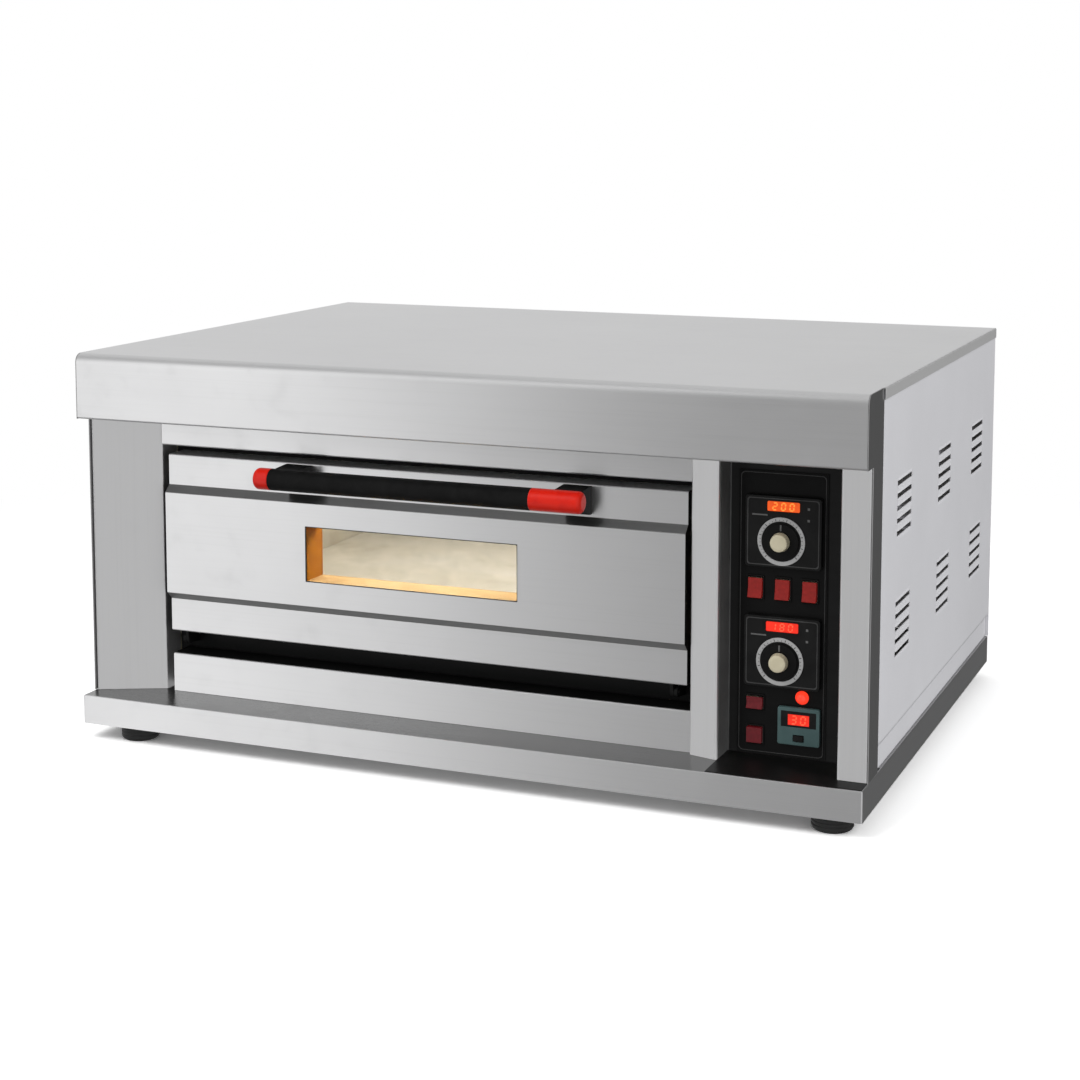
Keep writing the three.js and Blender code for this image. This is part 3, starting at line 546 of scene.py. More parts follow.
def turned(profile, centre, axis, sides=64, closed=False):
    """A solid of revolution through (distance along the axis, radius) pairs in millimetres."""
    axis = Vector(axis)
    side = axis.orthogonal().normalized()
    other = axis.cross(side)
    turns = [2 * math.pi * i / sides for i in range(sides)]
    spokes = [side * math.cos(t) + other * math.sin(t) for t in turns]
    rings = []
    for along, radius in profile:
        middle = Vector(centre) + axis * (along * MM)
        tip = radius < 0.0001
        rings.append([middle] if tip else [middle + spoke * (radius * MM) for spoke in spokes])
    return skinned(rings, closed)


def bar(node, corner, sides):
    """A round bar that fills a CAD node's box along X, its ends rounded."""
    low, high, middle, half = space(node)
    profile = rod(2 * half.x / MM, half.z / MM, corner)
    return turned(profile, (low.x, middle.y, middle.z), RIGHT, sides)


def tube(points, radius, sides):
    """A closed tube along a level line of points."""
    points = [Vector(p) for p in points]
    up = Vector((0, 0, 1))
    rings = []
    for i, point in enumerate(points):
        along = points[min(i + 1, len(points) - 1)] - points[max(i - 1, 0)]
        side = along.cross(up).normalized()
        turns = [2 * math.pi * k / sides for k in range(sides)]
        rings.append([point + (side * math.cos(t) + up * math.sin(t)) * radius for t in turns])
    return skinned(rings)


def on_face(x, y, z):
    """Places (across, up, forward) in millimetres about a point on a front face."""
    return lambda a, b, forward: (x + a * MM, y - forward * MM, z + b * MM)


def lofted(stations, place, closed=False):
    """A solid through rounded rectangles: (half width, half height, corner, forward) each."""
    rings = []
    for half_width, half_height, corner, forward in stations:
        outline = rounded_outline(half_width, half_height, corner)
        rings.append([place(a, b, forward) for a, b in outline])
    return skinned(rings, closed)


def bead(half, corner, section, place):
    """A strip that runs round a rectangle, through (inset, forward) points in millimetres."""
    wide, tall = half.x / MM, half.z / MM
    stations = [(wide - inset, tall - inset, corner, forward) for inset, forward in section]
    return lofted(stations, place, True)


def slab(place, across, up, forward, ease, segments=3):
    """A rounded box from its ranges across, up and forward in millimetres."""
    low = place(across[0], up[0], forward[1])
    return rounded_box(low, place(across[1], up[1], forward[0]), ease * MM, segments)


def fluted(bm, centre, share, waves, reach, lift=0.0):
    """Cuts waves into a part turned about a line along Y.

    The reach is how near, how far and how far out from the line they run, in
    millimetres. Their crests stay flat, unless the lift makes them full waves.
    """
    nearest, farthest, inner = reach
    for v in bm.verts:
        offset = v.co - Vector(centre)
        radius = math.hypot(offset.x, offset.z)
        if nearest * MM < abs(offset.y) < farthest * MM and radius > inner * MM:
            wave = math.cos(waves * math.atan2(offset.z, offset.x))
            squeeze = 1 - share * max(0.0, lift + (1 - lift) * wave)
            v.co.x = centre[0] + offset.x * squeeze
            v.co.z = centre[2] + offset.z * squeeze
    return bm


def without(bm, *cutters):
    """The bmesh with each cutter's shape removed."""
    objects = []
    for cutter in cutters:
        bmesh.ops.recalc_face_normals(cutter, faces=cutter.faces)
        objects.append(linked("cutter", mesh_from("cutter", cutter)))
    bmesh.ops.recalc_face_normals(bm, faces=bm.faces)
    steps = [("BOOLEAN", {"operation": "DIFFERENCE", "object": o, "solver": "EXACT"}) for o in objects]
    result = run_modifiers(bm, *steps)
    for cutter in objects:
        bpy.data.objects.remove(cutter)
    return result


def carried(node, ease, segments=2, angle=32):
    """The CAD node's own shape, its flat faces joined up and its edges eased by so many millimetres."""
    bm = bmesh.new()
    bm.from_mesh(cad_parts[node].data)
    bmesh.ops.remove_doubles(bm, verts=bm.verts, dist=1e-6)
    bmesh.ops.dissolve_limit(
        bm, angle_limit=math.radians(0.5), verts=bm.verts, edges=bm.edges, use_dissolve_boundaries=False
    )
    return run_modifiers(bm, eased(ease * MM, segments, angle)) if ease else bm


def smooth_step(t):
    t = min(max(t, 0.0), 1.0)
    return t * t * (3 - 2 * t)


# ---- casing

SHEET_BEND = 2.4 * MM
CANOPY_BEND = 14 * MM


def top_cover():
    """Roof, canopy face and soffit in one folded sheet, with turned-down side flanges."""
    low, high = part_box("top_cover")
    plate_low, plate_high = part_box("right_end_plate")
    seam = plate_high.y + GAP
    face, soffit, roof = low.y + HALF, low.z + HALF, high.z - HALF
    middle = (face, (low.z + high.z) / 2)
    profile = [Vector((high.y, roof))]
    profile += rounded_path([(seam, roof), (face, roof), middle], CANOPY_BEND, 16)[:-1]
    profile += rounded_path([middle, (face, soffit), (behind(81), soffit)], 3 * MM, 6)[1:]
    edge = high.x - HALF
    fold = [(plate_low.x - GAP, 0), (edge, 0), (edge, HALF - 16 * MM)]
    right = soft_profile(fold, SHEET_BEND, 6)
    columns = [(-x, drop) for x, drop in reversed(right)] + right
    inner = len(right) - 1

    def place(p, column):
        return (column[0], p.x, p.y + column[1])

    bm = as_sheet(grid(profile, columns, place, lambda i, j: i == 0 or j == inner))
    # painted light: the side flanges, part of the same sheet, take the lighter flange steel
    paint(bm, lambda face, c: abs(face.normal.x) > 0.5 and c.y > seam)
    stand_in("top_cover", "sheet", bm, [STEEL, LIGHTENED_FLANGE_STEEL], "stainless")


def end_plate(side):
    """Flat plate that closes the canopy's end, with its top front corner rounded to match."""
    node = f"{side}_end_plate"
    low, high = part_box(node)
    post = behind(31)
    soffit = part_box("outer_right_pilaster")[1].z
    arc = soft_profile([(low.y, low.z), (low.y, high.z), (high.y, high.z)], CANOPY_BEND, 14)
    outline = [(post, low.z), (post, soffit), (low.y, soffit), *arc[1:], (high.y, low.z)]
    bm = skinned([[(x, y, z) for y, z in outline] for x in (low.x, high.x)])
    bmesh.ops.recalc_face_normals(bm, faces=bm.faces)
    bm = run_modifiers(bm, eased(0.35 * MM, 3, 50))
    stand_in(node, "sheet", bm, PLATED_STEEL, "stainless")


def base_tray():
    """A shallow pan of sheet, open underneath, with rounded corners and a rolled top edge."""
    low, high, middle, half = space("base_tray")
    bend = 1.6 * MM
    stations = [(0.0, low.z)]
    for i in range(7):
        angle = QUARTER * i / 6
        stations.append((bend * (1 - math.cos(angle)), high.z - bend + bend * math.sin(angle)))
    rings = []
    for inset, z in stations:
        outline = rounded_outline(half.x - inset, half.y - inset, 2 * MM - inset)
        rings.append([(middle.x + a, middle.y + b, z) for a, b in outline])
    bm = skinned(rings, caps=(-1,))
    bmesh.ops.recalc_face_normals(bm, faces=bm.faces)
    bm = run_modifiers(bm, thickened(-1.0))
    # painted shade: the pan's flat top takes the darker steel
    paint(bm, lambda face, c: abs(face.normal.z) > 0.99 and len(face.verts) > 4)
    base = piece("base_pan", bm, [STEEL, SHADED_LEDGE_STEEL], "stainless", nodes=["base_tray"])
    base.visible_glossy = False


# The louvres: five to a group, each a slot with a lip pressed out above it and a
# dish pressed in below it.
LOUVRE_LENGTH = 90 * MM
LOUVRE_SLOT = 8.5 * MM
LOUVRE_PITCH = 17.7 * MM
LOUVRE_COUNT = 5
LOUVRE_TOPS = (451 * MM, 281 * MM)
LOUVRE_TAPER = 9 * MM               # how far in from its ends a lip reaches its full height
SIDE_LOUVRES = (172, 446, 702)
REAR_LOUVRES = (300 * MM, 440 * MM)
SIDE_LIP = 1.2 * MM                 # how far the metal above a slot is pressed out
REAR_LIP = 6.0 * MM
REAR_HOOD = 10.0 * MM               # how far a rear lip hangs down over its slot
DISH_IN = 1.0 * MM                  # how far the metal below a slot is pressed in
PRESS = 4.2 * MM                    # height of the pressed metal above and below a slot
NEAR = 1e-7                         # slack for places that should coincide
SWAGE_HEIGHT = 104 * MM             # a stiffening crease along the foot of each side panel
SWAGE_DEPTH = 5 * MM                # how far the panel steps in below it
SWAGE_RUN = 12 * MM                 # the height over which the crease steps in
EDGE_ROLL = 30 * MM                 # how far a side panel's front edge takes to roll in


def louvred_sheet(start, end, bottom, top, groups, place, lip, hood=0.0, shape=None, crease=()):
    """A sheet of (along, up) quads, with louvre groups that start at the given places."""
    slots = [t - k * LOUVRE_PITCH for t in LOUVRE_TOPS for k in range(LOUVRE_COUNT)]
    half = LOUVRE_SLOT / 2
    ups = {bottom, top, *crease}
    for z in slots:
        for t in (0, 0.2, 0.45, 0.75, 1):
            ups |= {z + half + PRESS * t, z - half - PRESS * t}
    alongs = {start, end - 4 * MM, end, *(start + d * MM for d in (2, 6, 14, 30))}
    for g in groups:
        alongs.add(g + LOUVRE_LENGTH / 2)
        for t in (0, 0.15, 0.35, 0.6, 0.8, 1):
            alongs |= {g + LOUVRE_TAPER * t, g + LOUVRE_LENGTH - LOUVRE_TAPER * t}
    ups, alongs = sorted(ups), sorted(alongs)

    def group_at(u):
        return next((g for g in groups if g - NEAR <= u <= g + LOUVRE_LENGTH + NEAR), None)

    def pressed(u, v):
        """How far the metal stands out and hangs down at this point."""
        g = group_at(u)
        if g is not None:
            from_end = min(u - g, g + LOUVRE_LENGTH - u)
            fade = math.sin(QUARTER * min(from_end / LOUVRE_TAPER, 1)) ** 0.7
            for z in slots:
                beyond = abs(v - z) - half
                if -NEAR <= beyond <= PRESS + NEAR:
                    share = fade * smooth_step(1 - beyond / PRESS)
                    return (lip * share, hood * share) if v > z else (-DISH_IN * share, 0.0)
        return (shape(u, v) if shape else 0.0), 0.0

    def corner(v, u):
        stand, hang = pressed(u, v)
        return place(u, v - hang, stand)

    def is_metal(i, j):
        v = (ups[i] + ups[i + 1]) / 2
        u = (alongs[j] + alongs[j + 1]) / 2
        return group_at(u) is None or not any(abs(v - z) < half for z in slots)

    return run_modifiers(grid(ups, alongs, corner, is_metal), thickened())


def side_panel(side):
    """Painted side with louvres, a stiffening crease and a rolled front edge."""
    node = f"{side}_side_panel"
    low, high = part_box(node)
    out = 1 if side == "right" else -1
    outer = high.x if side == "right" else low.x
    crease = [SWAGE_HEIGHT + k * MM for k in range(-6, 7)]

    def shape(u, v):
        roll = 1.0 * MM * (1 - smooth_step((u - low.y) / EDGE_ROLL))
        return -roll - SWAGE_DEPTH * (1 - smooth_step((v - SWAGE_HEIGHT) / SWAGE_RUN + 0.5))

    def place(u, v, stand):
        return (outer + out * (stand - HALF), u, v)

    groups = [behind(d) for d in SIDE_LOUVRES]
    bm = louvred_sheet(low.y, high.y, low.z, high.z, groups, place, SIDE_LIP, 0.0, shape, crease)
    stand_in(node, "sheet", bm, PANEL_PAINT, "painted_panel", smooth=50)


def pan_head(centre, axis, radius=4):
    """A cross-slotted pan head screw, its radius in millimetres."""
    rise = radius * 0.55
    head = [(0.0, radius)]
    for i in range(1, 6):
        angle = QUARTER * i / 6
        head.append((rise * math.sin(angle), radius * (0.55 + 0.45 * math.cos(angle))))
    return turned([*head, (rise, radius * 0.2), (rise * 0.55, radius * 0.12)], centre, axis, 20)


def rear_panel():
    """Louvred back with a hole for the gland, held by screws along both sides and the foot."""
    low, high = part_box("rear_panel")
    gland = space("cable_gland")[2]

    def place(u, v, stand):
        return (u, high.y - HALF + stand, v)

    bm = louvred_sheet(low.x, high.x, low.z, high.z, REAR_LOUVRES, place, REAR_LIP, REAR_HOOD)
    bm = without(bm, turned([(-9, 10.3), (9, 10.3)], (gland.x, high.y, gland.z), BACK, 32))
    stand_in("rear_panel", "sheet", bm, PANEL_PAINT, "painted_panel", smooth=50)
    inset = 9 * MM
    places = [(x, low.z + (40 + 140 * i) * MM) for x in (low.x + inset, high.x - inset) for i in range(4)]
    places += [(low.x + (130 + 235 * i) * MM, low.z + inset) for i in range(5)]
    heads = [pan_head((x, high.y, z), BACK) for x, z in places]
    piece("rear_panel_screws", merged(*heads), SCREW_STEEL, "stainless")


def cable_gland():
    """Ribbed dome nut outside the panel and a hexagon lock nut inside."""
    high, middle = space("cable_gland")[1:3]
    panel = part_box("rear_panel")[1].y
    centre = (middle.x, panel, middle.z)
    out = (high.y - panel) / MM
    dome = [(0.3, 8), (0.3, 14), (6, 14), (13, 12.5), (out, 8.6), (out, 5), (8, 5)]
    ribs = turned(soft_profile(dome, 1.0) + [(8, 0)], centre, BACK, 48)
    fluted(ribs, centre, 0.035, 16, (1, 12, 11), 0.5)
    neck = turned([(-1.5, 10), (0.3, 10)], centre, BACK, 32)
    nut = run_modifiers(turned([(-7.5, 13.5), (-1.5, 13.5)], centre, BACK, 6), eased(0.6 * MM))
    stand_in("cable_gland", "body", merged(ribs, neck, nut), BLACK_PLASTIC, "black_plastic")


# ---- front sheets


def sheet_edges(node):
    """Where the middle of a folded sheet runs at its left, right and front, and its back edge."""
    low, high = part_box(node)
    return low.x + HALF, high.x - HALF, low.y + HALF, high.y


def upright(node, path):
    """A pilaster folded along an (x, y) path, with its grain running up."""
    low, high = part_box(node)
    bm = folded(path, low.z, high.z, True)
    stand_in(node, "sheet", bm, UPRIGHT_STEEL, "stainless", along="Z")


def left_pilaster():
    """Slanted sheet that runs back from the oven's left edge to the door."""
    left, right, front, back = sheet_edges("left_pilaster")
    path = [(left, behind(60)), (left, behind(34)), (right, behind(80)), (right, back)]
    upright("left_pilaster", path)


def inner_right_pilaster():
    """Channel between the door and the controls, its face turned slightly to the left."""
    left, right, front, back = sheet_edges("inner_right_pilaster")
    path = [(left, back), (left, behind(67)), (right, behind(56)), (right, back)]
    upright("inner_right_pilaster", path)


def outer_right_pilaster():
    """Square channel that closes the oven's right front corner."""
    left, right, front, back = sheet_edges("outer_right_pilaster")
    path = [(left, back), (left, front), (right, front), (right, behind(60))]
    upright("outer_right_pilaster", path)


def upper_trim():
    low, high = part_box("upper_trim")
    face, foot = low.y + HALF, low.z + HALF
    bm = folded([(face, high.z), (face, foot), (high.y, foot)], low.x, high.x, False)
    stand_in("upper_trim", "sheet", bm, STEEL, "stainless")


def lower_front_panel():
    low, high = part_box("lower_front_panel")
    face, brow = low.y + HALF, high.z - HALF
    bm = folded([(face, low.z), (face, brow), (high.y, brow)], low.x, high.x, False)
    # painted shade: the steel panel's top flange, under the door's bottom edge, is given black enamel to show
    # the dark gap there
    paint(bm, lambda f, c: f.normal.z > 0.7 and c.y > face + 2 * MM)
    stand_in("lower_front_panel", "sheet", bm, [STEEL, ENAMEL_AND_PAINTED_SHADE], "stainless")


# ---- door

RAISED_BY = 12 * MM                                     # how far the door's middle stands out
BEVELS = ((214 * MM, 225 * MM), (380 * MM, 391 * MM))   # heights of its lower and upper bevels


def window_edges():
    """The window's left, right, bottom and top, from the pane that fills it."""
    low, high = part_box("inner_glass")
    return low.x - GAP, high.x + GAP, low.z - GAP, high.z + GAP


def door_skin():
    """Pressed front of the door: a pan with a raised middle and a window cut through it."""
    low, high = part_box("door_outer_skin")
    raised = low.y + HALF
    face = raised + RAISED_BY
    rim = high.y
    bottom, top = low.z + HALF, high.z - HALF
    lower, upper = BEVELS
    corners = [(rim, bottom), (face, bottom), (face, lower[0]), (raised, lower[1])]
    corners += [(raised, upper[0]), (face, upper[1]), (face, top), (rim, top)]
    profile = rounded_path(corners, 2.0 * MM, 5)
    left, right, sill, head = window_edges()
    window = next(i for i, p in enumerate(profile) if abs(p.x - raised) < NEAR and p.y > sill)
    profile[window:window] = [Vector((raised, sill)), Vector((raised, head))]
    ends = (low.x + HALF, high.x - HALF)
    columns = [(ends[0], True), (ends[0], False), (left, False), (right, False)]
    columns += [(ends[1], False), (ends[1], True)]

    def place(p, column):
        x, on_rim = column
        return (x, rim if on_rim else p.x, p.y)

    bm = grid(profile, columns, place, lambda i, j: (i, j) != (window, 2))
    bmesh.ops.remove_doubles(bm, verts=bm.verts, dist=1e-6)
    bmesh.ops.recalc_face_normals(bm, faces=bm.faces)
    bm = run_modifiers(bm, thickened(), eased(0.5 * MM, 3, 55))

    def slot_of(f, c):
        # painted shade: the door's steel side returns behind its face are given black enamel, to show the
        # dark gaps beside the door
        if abs(f.normal.x) > 0.7 and c.y > face:
            return 2
        # painted shade: the two bevels take the darker steel
        in_bevel_shade = any(foot - MM < c.z < brow + MM for foot, brow in BEVELS)
        return in_bevel_shade and abs(f.normal.z) > 0.3 and abs(f.normal.x) < 0.5

    paint(bm, slot_of)
    surfaces = [STEEL, SHADED_BEVEL_STEEL, ENAMEL_AND_PAINTED_SHADE]
    piece("door_skin_sheet", bm, surfaces, "stainless", "door", ["door_outer_skin"])


def door_liner():
    """Inner sheet of the door with the collar that lines the window."""
    left, right, sill, head = window_edges()
    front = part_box("door_liner")[1].y - 2.2 * MM
    slack = 2 * MM

    def slot_of(f, c):
        beside = left - slack < c.x < right + slack and sill - slack < c.z < head + slack
        if not beside or c.y >= front:
            return 0
        # painted light: the collar's sides take the orange steel and its sill the pale yellow one
        return 2 if c.z < sill + MM and f.normal.z > 0.5 else 1

    bm = paint(carried("door_liner", 0.35), slot_of)
    surfaces = [CHAMBER_STEEL, WARM_LIT_REVEAL_STEEL, BRIGHT_LIT_SILL_STEEL]
    stand_in("door_liner", "sheet", bm, surfaces, "chamber_steel", "door")


def window_gasket():
    """Thin silicone bead round the window, between the door skin and the glass."""
    left, right, sill, head = window_edges()
    half = Vector((right - left, 0, head - sill)) / 2
    place = on_face(left + half.x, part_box("door_outer_skin")[0].y, sill + half.z)
    section = [(0.0, -0.1), (0.0, -1.25), (1.1, -1.25), (1.35, -0.7), (1.1, -0.1)]
    piece("window_gasket", bead(half, 1.8, section, place), GASKET, "rubber", "door")


def kept_shape(node, ending, surface, slot, ease, segments=2, angle=50, body="root"):
    """A piece with the CAD node's own shape and its edges eased."""
    stand_in(node, ending, carried(node, ease, segments, angle), surface, slot, body)


def panes():
    for node in ("outer_glass", "inner_glass"):
        stand_in(node, "pane", rounded_box(*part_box(node), 0.6 * MM), GLASS, "glass", "door")


def handle():
    """Black bar in two brackets, with red caps on its ends."""
    middle, half = space("handle_bar")[2:]
    radius = half.z / MM
    sleeve = bar("handle_bar", 0.8, 72)
    mouldings = [stand_in("handle_bar", "sleeve", sleeve, BLACK_PLASTIC, "black_plastic", "door")]
    for side, direction in (("left", -1), ("right", 1)):
        node = f"{side}_handle_cap"
        cap_middle, cap_half = space(node)[2:]
        reach = 2 * cap_half.x / MM
        root, nose = rod(reach, radius, 1.0, 3), rod(reach, radius, 10, 12)
        outline = root[:len(root) // 2] + nose[len(nose) // 2:]
        start = (cap_middle.x - direction * cap_half.x, middle.y, middle.z)
        bm = turned(outline, start, (direction, 0, 0), 72)
        mouldings.append(stand_in(node, "moulding", bm, RED_PLASTIC, "red_plastic", "door"))
        bracket = f"{side}_handle_bracket"
        kept_shape(bracket, "casting", BLACK_PLASTIC, "black_plastic", 1.6, 4, 40, "door")
    for moulding in mouldings:
        moulding.visible_glossy = False


def hinges():
    for side in ("left", "right"):
        kept_shape(f"{side}_hinge_bracket", "plate", ENAMEL_AND_PAINTED_SHADE, "black_paint", 0.5)
        kept_shape(f"{side}_hinge_arm", "plate", ENAMEL_AND_PAINTED_SHADE, "black_paint", 0.5, body="door")


# ---- chamber


def chamber():
    """The chamber's plates and deck, its wool, and what heats, lights and switches it."""
    for part in ("ceiling", "floor", "left_wall", "right_wall", "back_wall"):
        # painted light and shade: the side walls take their own toned copy of the chamber steel
        finish = SIDE_WALL_LIGHT_AND_SHADE_STEEL if part in ("left_wall", "right_wall") else CHAMBER_STEEL
        kept_shape(f"chamber_{part}", "sheet", finish, "chamber_steel", 0.4)
    kept_shape("door_surround", "plate", ENAMEL_AND_PAINTED_SHADE, "black_paint", 0.4, 2, 32)
    kept_shape("deck_plate", "slab", DECK_STEEL, "deck_steel", 1.0, 3, 32)
    kept_shape("insulation", "slab", WOOL, "mineral_wool", 0)
    for node in ("upper_element_1", "upper_element_2", "lower_element_1", "lower_element_2"):
        element(node)
    for node in ("upper_thermocouple", "lower_thermocouple"):
        stand_in(node, "probe", bar(node, 0.8 * space(node)[3].z / MM, 24), PLATED_STEEL, "stainless")
    chamber_lamp()
    contactor()


def element(node):
    """A sheathed heating element in four runs, smooth round its three bends."""
    low, high, middle, half = space(node)
    radius = half.z
    start = low.y + radius
    pitch = (high.y - low.y - 2 * radius) / 3
    bend = pitch / 2
    left = low.x + radius + bend
    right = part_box("chamber_right_wall")[0].x - GAP - 60 * MM - bend
    points = [(high.x, start)]
    for turn, (x, side) in enumerate(((left, -1), (right, 1), (left, -1))):
        y = start + pitch * (turn + 0.5)
        for i in range(15):
            angle = math.pi * i / 14
            points.append((x + side * bend * math.sin(angle), y - bend * math.cos(angle)))
    points.append((high.x, start + 3 * pitch))
    bm = tube([(x, y, middle.z) for x, y in points], radius * 0.99, 20)
    stand_in(node, "sheath", bm, ELEMENT, "element")


def chamber_lamp():
    """Glass dome with pressed rings in a round steel holder on the back wall."""
    low, high, middle, half = space("chamber_lamp")
    back = (middle.x, high.y, middle.z)
    radius, depth = half.z / MM, 2 * half.y / MM
    holder = soft_profile([(0, 0), (0, radius), (6, radius), (8, radius * 0.84), (8, 0)], 1.2)
    piece("chamber_lamp_holder", turned(holder, back, OUT, 48), PLATED_STEEL, "stainless")
    rim = 8.3
    dome = [(rim, 0.0), (rim, radius * 0.76)]
    for i in range(1, 12):
        angle = QUARTER * i / 12
        wide = (radius * 0.76 + 0.4 * math.sin(6 * angle)) * math.cos(angle)
        dome.append((rim + (depth - rim) * math.sin(angle), wide))
    bm = turned([*dome, (depth, 0)], back, OUT, 48)
    stand_in("chamber_lamp", "dome", bm, LAMP_GLASS, "lamp_glass")


def contactor():
    """Moulded contactor with terminal rows top and bottom."""
    low, high, middle, half = space("contactor")
    place = on_face(middle.x, low.y, middle.z)
    wide, tall, deep = half.x / MM, half.z / MM, 2 * half.y / MM
    core = slab(place, (-wide, wide), (-tall, tall), (-deep, -8), 2)
    step = slab(place, (4 - wide, wide - 4), (-0.4 * tall, 0.4 * tall), (-8.5, 0), 1.2)
    screws = []
    for k in range(4):
        for up in (-0.7, 0.7):
            head = pan_head(place(wide * (k - 1.5) / 2, up * tall, -8), OUT, 4.5)
            screws.append(paint(head, lambda f, c: 1))
    bm = merged(core, step, *screws)
    stand_in("contactor", "body", bm, [GREY_PLASTIC, SCREW_STEEL], "grey_plastic")


# ---- controls

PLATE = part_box("control_plate")[0].y    # the control plate's front face
REACH = 8                               # millimetres that a controller stands off the plate
DISPLAY_RISE = 35.6                     # millimetres from its middle up to its display
DIAL_RISE = -12.5                       # and to its dial, which sits lower
DIAL_SHIFT = -2.3                       # and a little to the left


def control_recess():
    """Lined hollow for the controls, open through the back for their housings."""
    low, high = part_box("control_recess")
    liner = carried("control_recess", 0.3, 2, 40)
    # painted light: the recess's left wall takes the lighter enamel
    paint(liner, lambda f, c: c.x < low.x + 3 * MM and c.z > low.z + 4 * MM)
    surfaces = [RECESS_ENAMEL, LIT_WALL_ENAMEL]
    stand_in("control_recess", "liner", liner, surfaces, "black_paint").visible_glossy = False


def control_plate():
    """Black plate behind the controls, with a thin raised border."""
    middle, half = space("control_plate")[2:]
    kept_shape("control_plate", "sheet", PLATE_ENAMEL, "control_black", 0.5)
    section = [(2.5, 0), (2.7, 0.35), (3.4, 0.35), (3.6, 0)]
    border = bead(half, 6, section, on_face(middle.x, PLATE, middle.z))
    piece("control_plate_border", border, TRIM_PLASTIC, "grey_plastic")


SEGMENTS = {"0": "abcdef", "1": "bc", "2": "abged", "3": "abgcd", "8": "abcdefg"}


def digit(character, place, height):
    """One seven-segment figure as six-sided bars standing 0.3 mm proud."""
    half = height * 0.28
    tall = height / 2
    thick = height * 0.095
    lean = 0.1
    joins = [(-half, tall), (half, tall), (half, 0), (half, -tall), (-half, -tall), (-half, 0)]
    bars = []
    for name in SEGMENTS[character]:
        k = "abcdef".find(name)
        ends = (5, 2) if name == "g" else (k, (k + 1) % 6)
        a, b = (Vector(joins[end]) for end in ends)
        along = (b - a).normalized()
        across = Vector((-along.y, along.x))
        a += along * thick * 0.35
        b -= along * thick * 0.35
        outline = [a, a + (along + across) * thick, b + (across - along) * thick, b]
        outline += [b - (along + across) * thick, a + (along - across) * thick]
        bars.append(skinned([[place(p.x + lean * p.y, p.y, f) for p in outline] for f in (0, 0.3)]))
    return merged(*bars)


def readout(name, text, x, y, z, height, spacing, surface):
    """A row of lit figures."""
    start = x - spacing * MM * (len(text) - 1) / 2
    figures = []
    for i, character in enumerate(text):
        figures.append(digit(character, on_face(start + i * spacing * MM, y, z), height))
    piece(f"{name}_display_figures", merged(*figures), surface, "display", smooth=20)


def instrument(node, front, reach, corners, rim):
    """A housing behind a flange, whose rim steps in through (inset, forward) points."""
    low, high, middle, half = space(node)
    wide, tall = half.x / MM, half.z / MM
    housing = (wide - 8, tall - 8, 2)
    stations = [(*housing, (front - high.y) / MM), (*housing, -reach - 0.01)]
    for corner, (inset, forward) in zip(corners, ((0, -reach), *rim)):
        stations.append((wide - inset, tall - inset, corner, forward))
    return lofted(stations, on_face(middle.x, front, middle.z))


def controller(name, figures, window, lit):
    """A panel instrument: framed bezel, lit display, scale ring and small lamps."""
    node = f"{name}_controller"
    middle, half = space(node)[2:]
    x, z = middle.x, middle.z
    front = PLATE - GAP - REACH * MM
    place = on_face(x, front, z)
    screen = on_face(x, front, z + DISPLAY_RISE * MM)
    bezel = instrument(node, front, REACH, (5, 5, 4.6, 4), ((0, -1.6), (0.5, -0.5), (1.6, 0)))
    opening = lofted([(23, 7, 2, -2), (23, 7, 2, -0.6), (23.8, 7.8, 2.6, 0.2)], screen)
    body = without(bezel, opening)
    stand_in(node, "bezel", body, CONTROL_PLASTIC, "black_plastic", smooth=30)
    border = bead(half, 4, [(3, 0), (3.25, 0.5), (4.35, 0.5), (4.6, 0)], place)
    piece(f"{node}_border", border, TRIM_PLASTIC, "grey_plastic")
    pane = lofted([(22.8, 6.8, 1.8, -1.9), (22.8, 6.8, 1.8, -1.0), (22.6, 6.6, 1.6, -0.8)], screen)
    piece(f"{name}_display_window", pane, window, "display")
    readout(name, figures, x, front + 0.8 * MM, z + DISPLAY_RISE * MM, 9.5, 12, lit)
    scale_ring(name, (x + DIAL_SHIFT * MM, front, z + DIAL_RISE * MM))
    marks = [slab(place, (-44, -22), (22, 24.2), (0, 0.4), 0.3)]
    marks += [slab(place, (34, 37.5), (up, up + 3.5), (0, 0.5), 0.4) for up in (33, 17)]
    piece(f"{name}_face_marks", merged(*marks), MARK_GREY, "grey_plastic")


def scale_ring(name, centre):
    """Printed ring round the dial, with ticks over its 270 degrees of travel."""
    inner, outer, rise = 28, 33.6, 1.4
    profile = soft_profile([(0, inner), (rise, inner), (rise, outer), (0, outer)], 0.4, 3)
    piece(f"{name}_scale_ring", turned(profile, centre, OUT, 96, True), SCALE_GREY, "dial")
    ticks = []
    for i in range(28):
        reach, width = (3.2, 0.45) if i % 3 == 0 else (1.8, 0.3)
        start = inner + 0.8
        tick = slab(on_face(0, 0, 0), (start, start + reach), (-width, width), (-0.15, 0), 0.05, 1)
        angle = math.radians(225 - 270 * i / 27)
        forward = Matrix.Translation(Vector(centre) + Vector(OUT) * (rise + 0.15) * MM)
        tick.transform(forward @ Matrix.Rotation(-angle, 4, "Y"))
        ticks.append(tick)
    piece(f"{name}_scale_ticks", merged(*ticks), CONTROL_PLASTIC, "black_plastic")


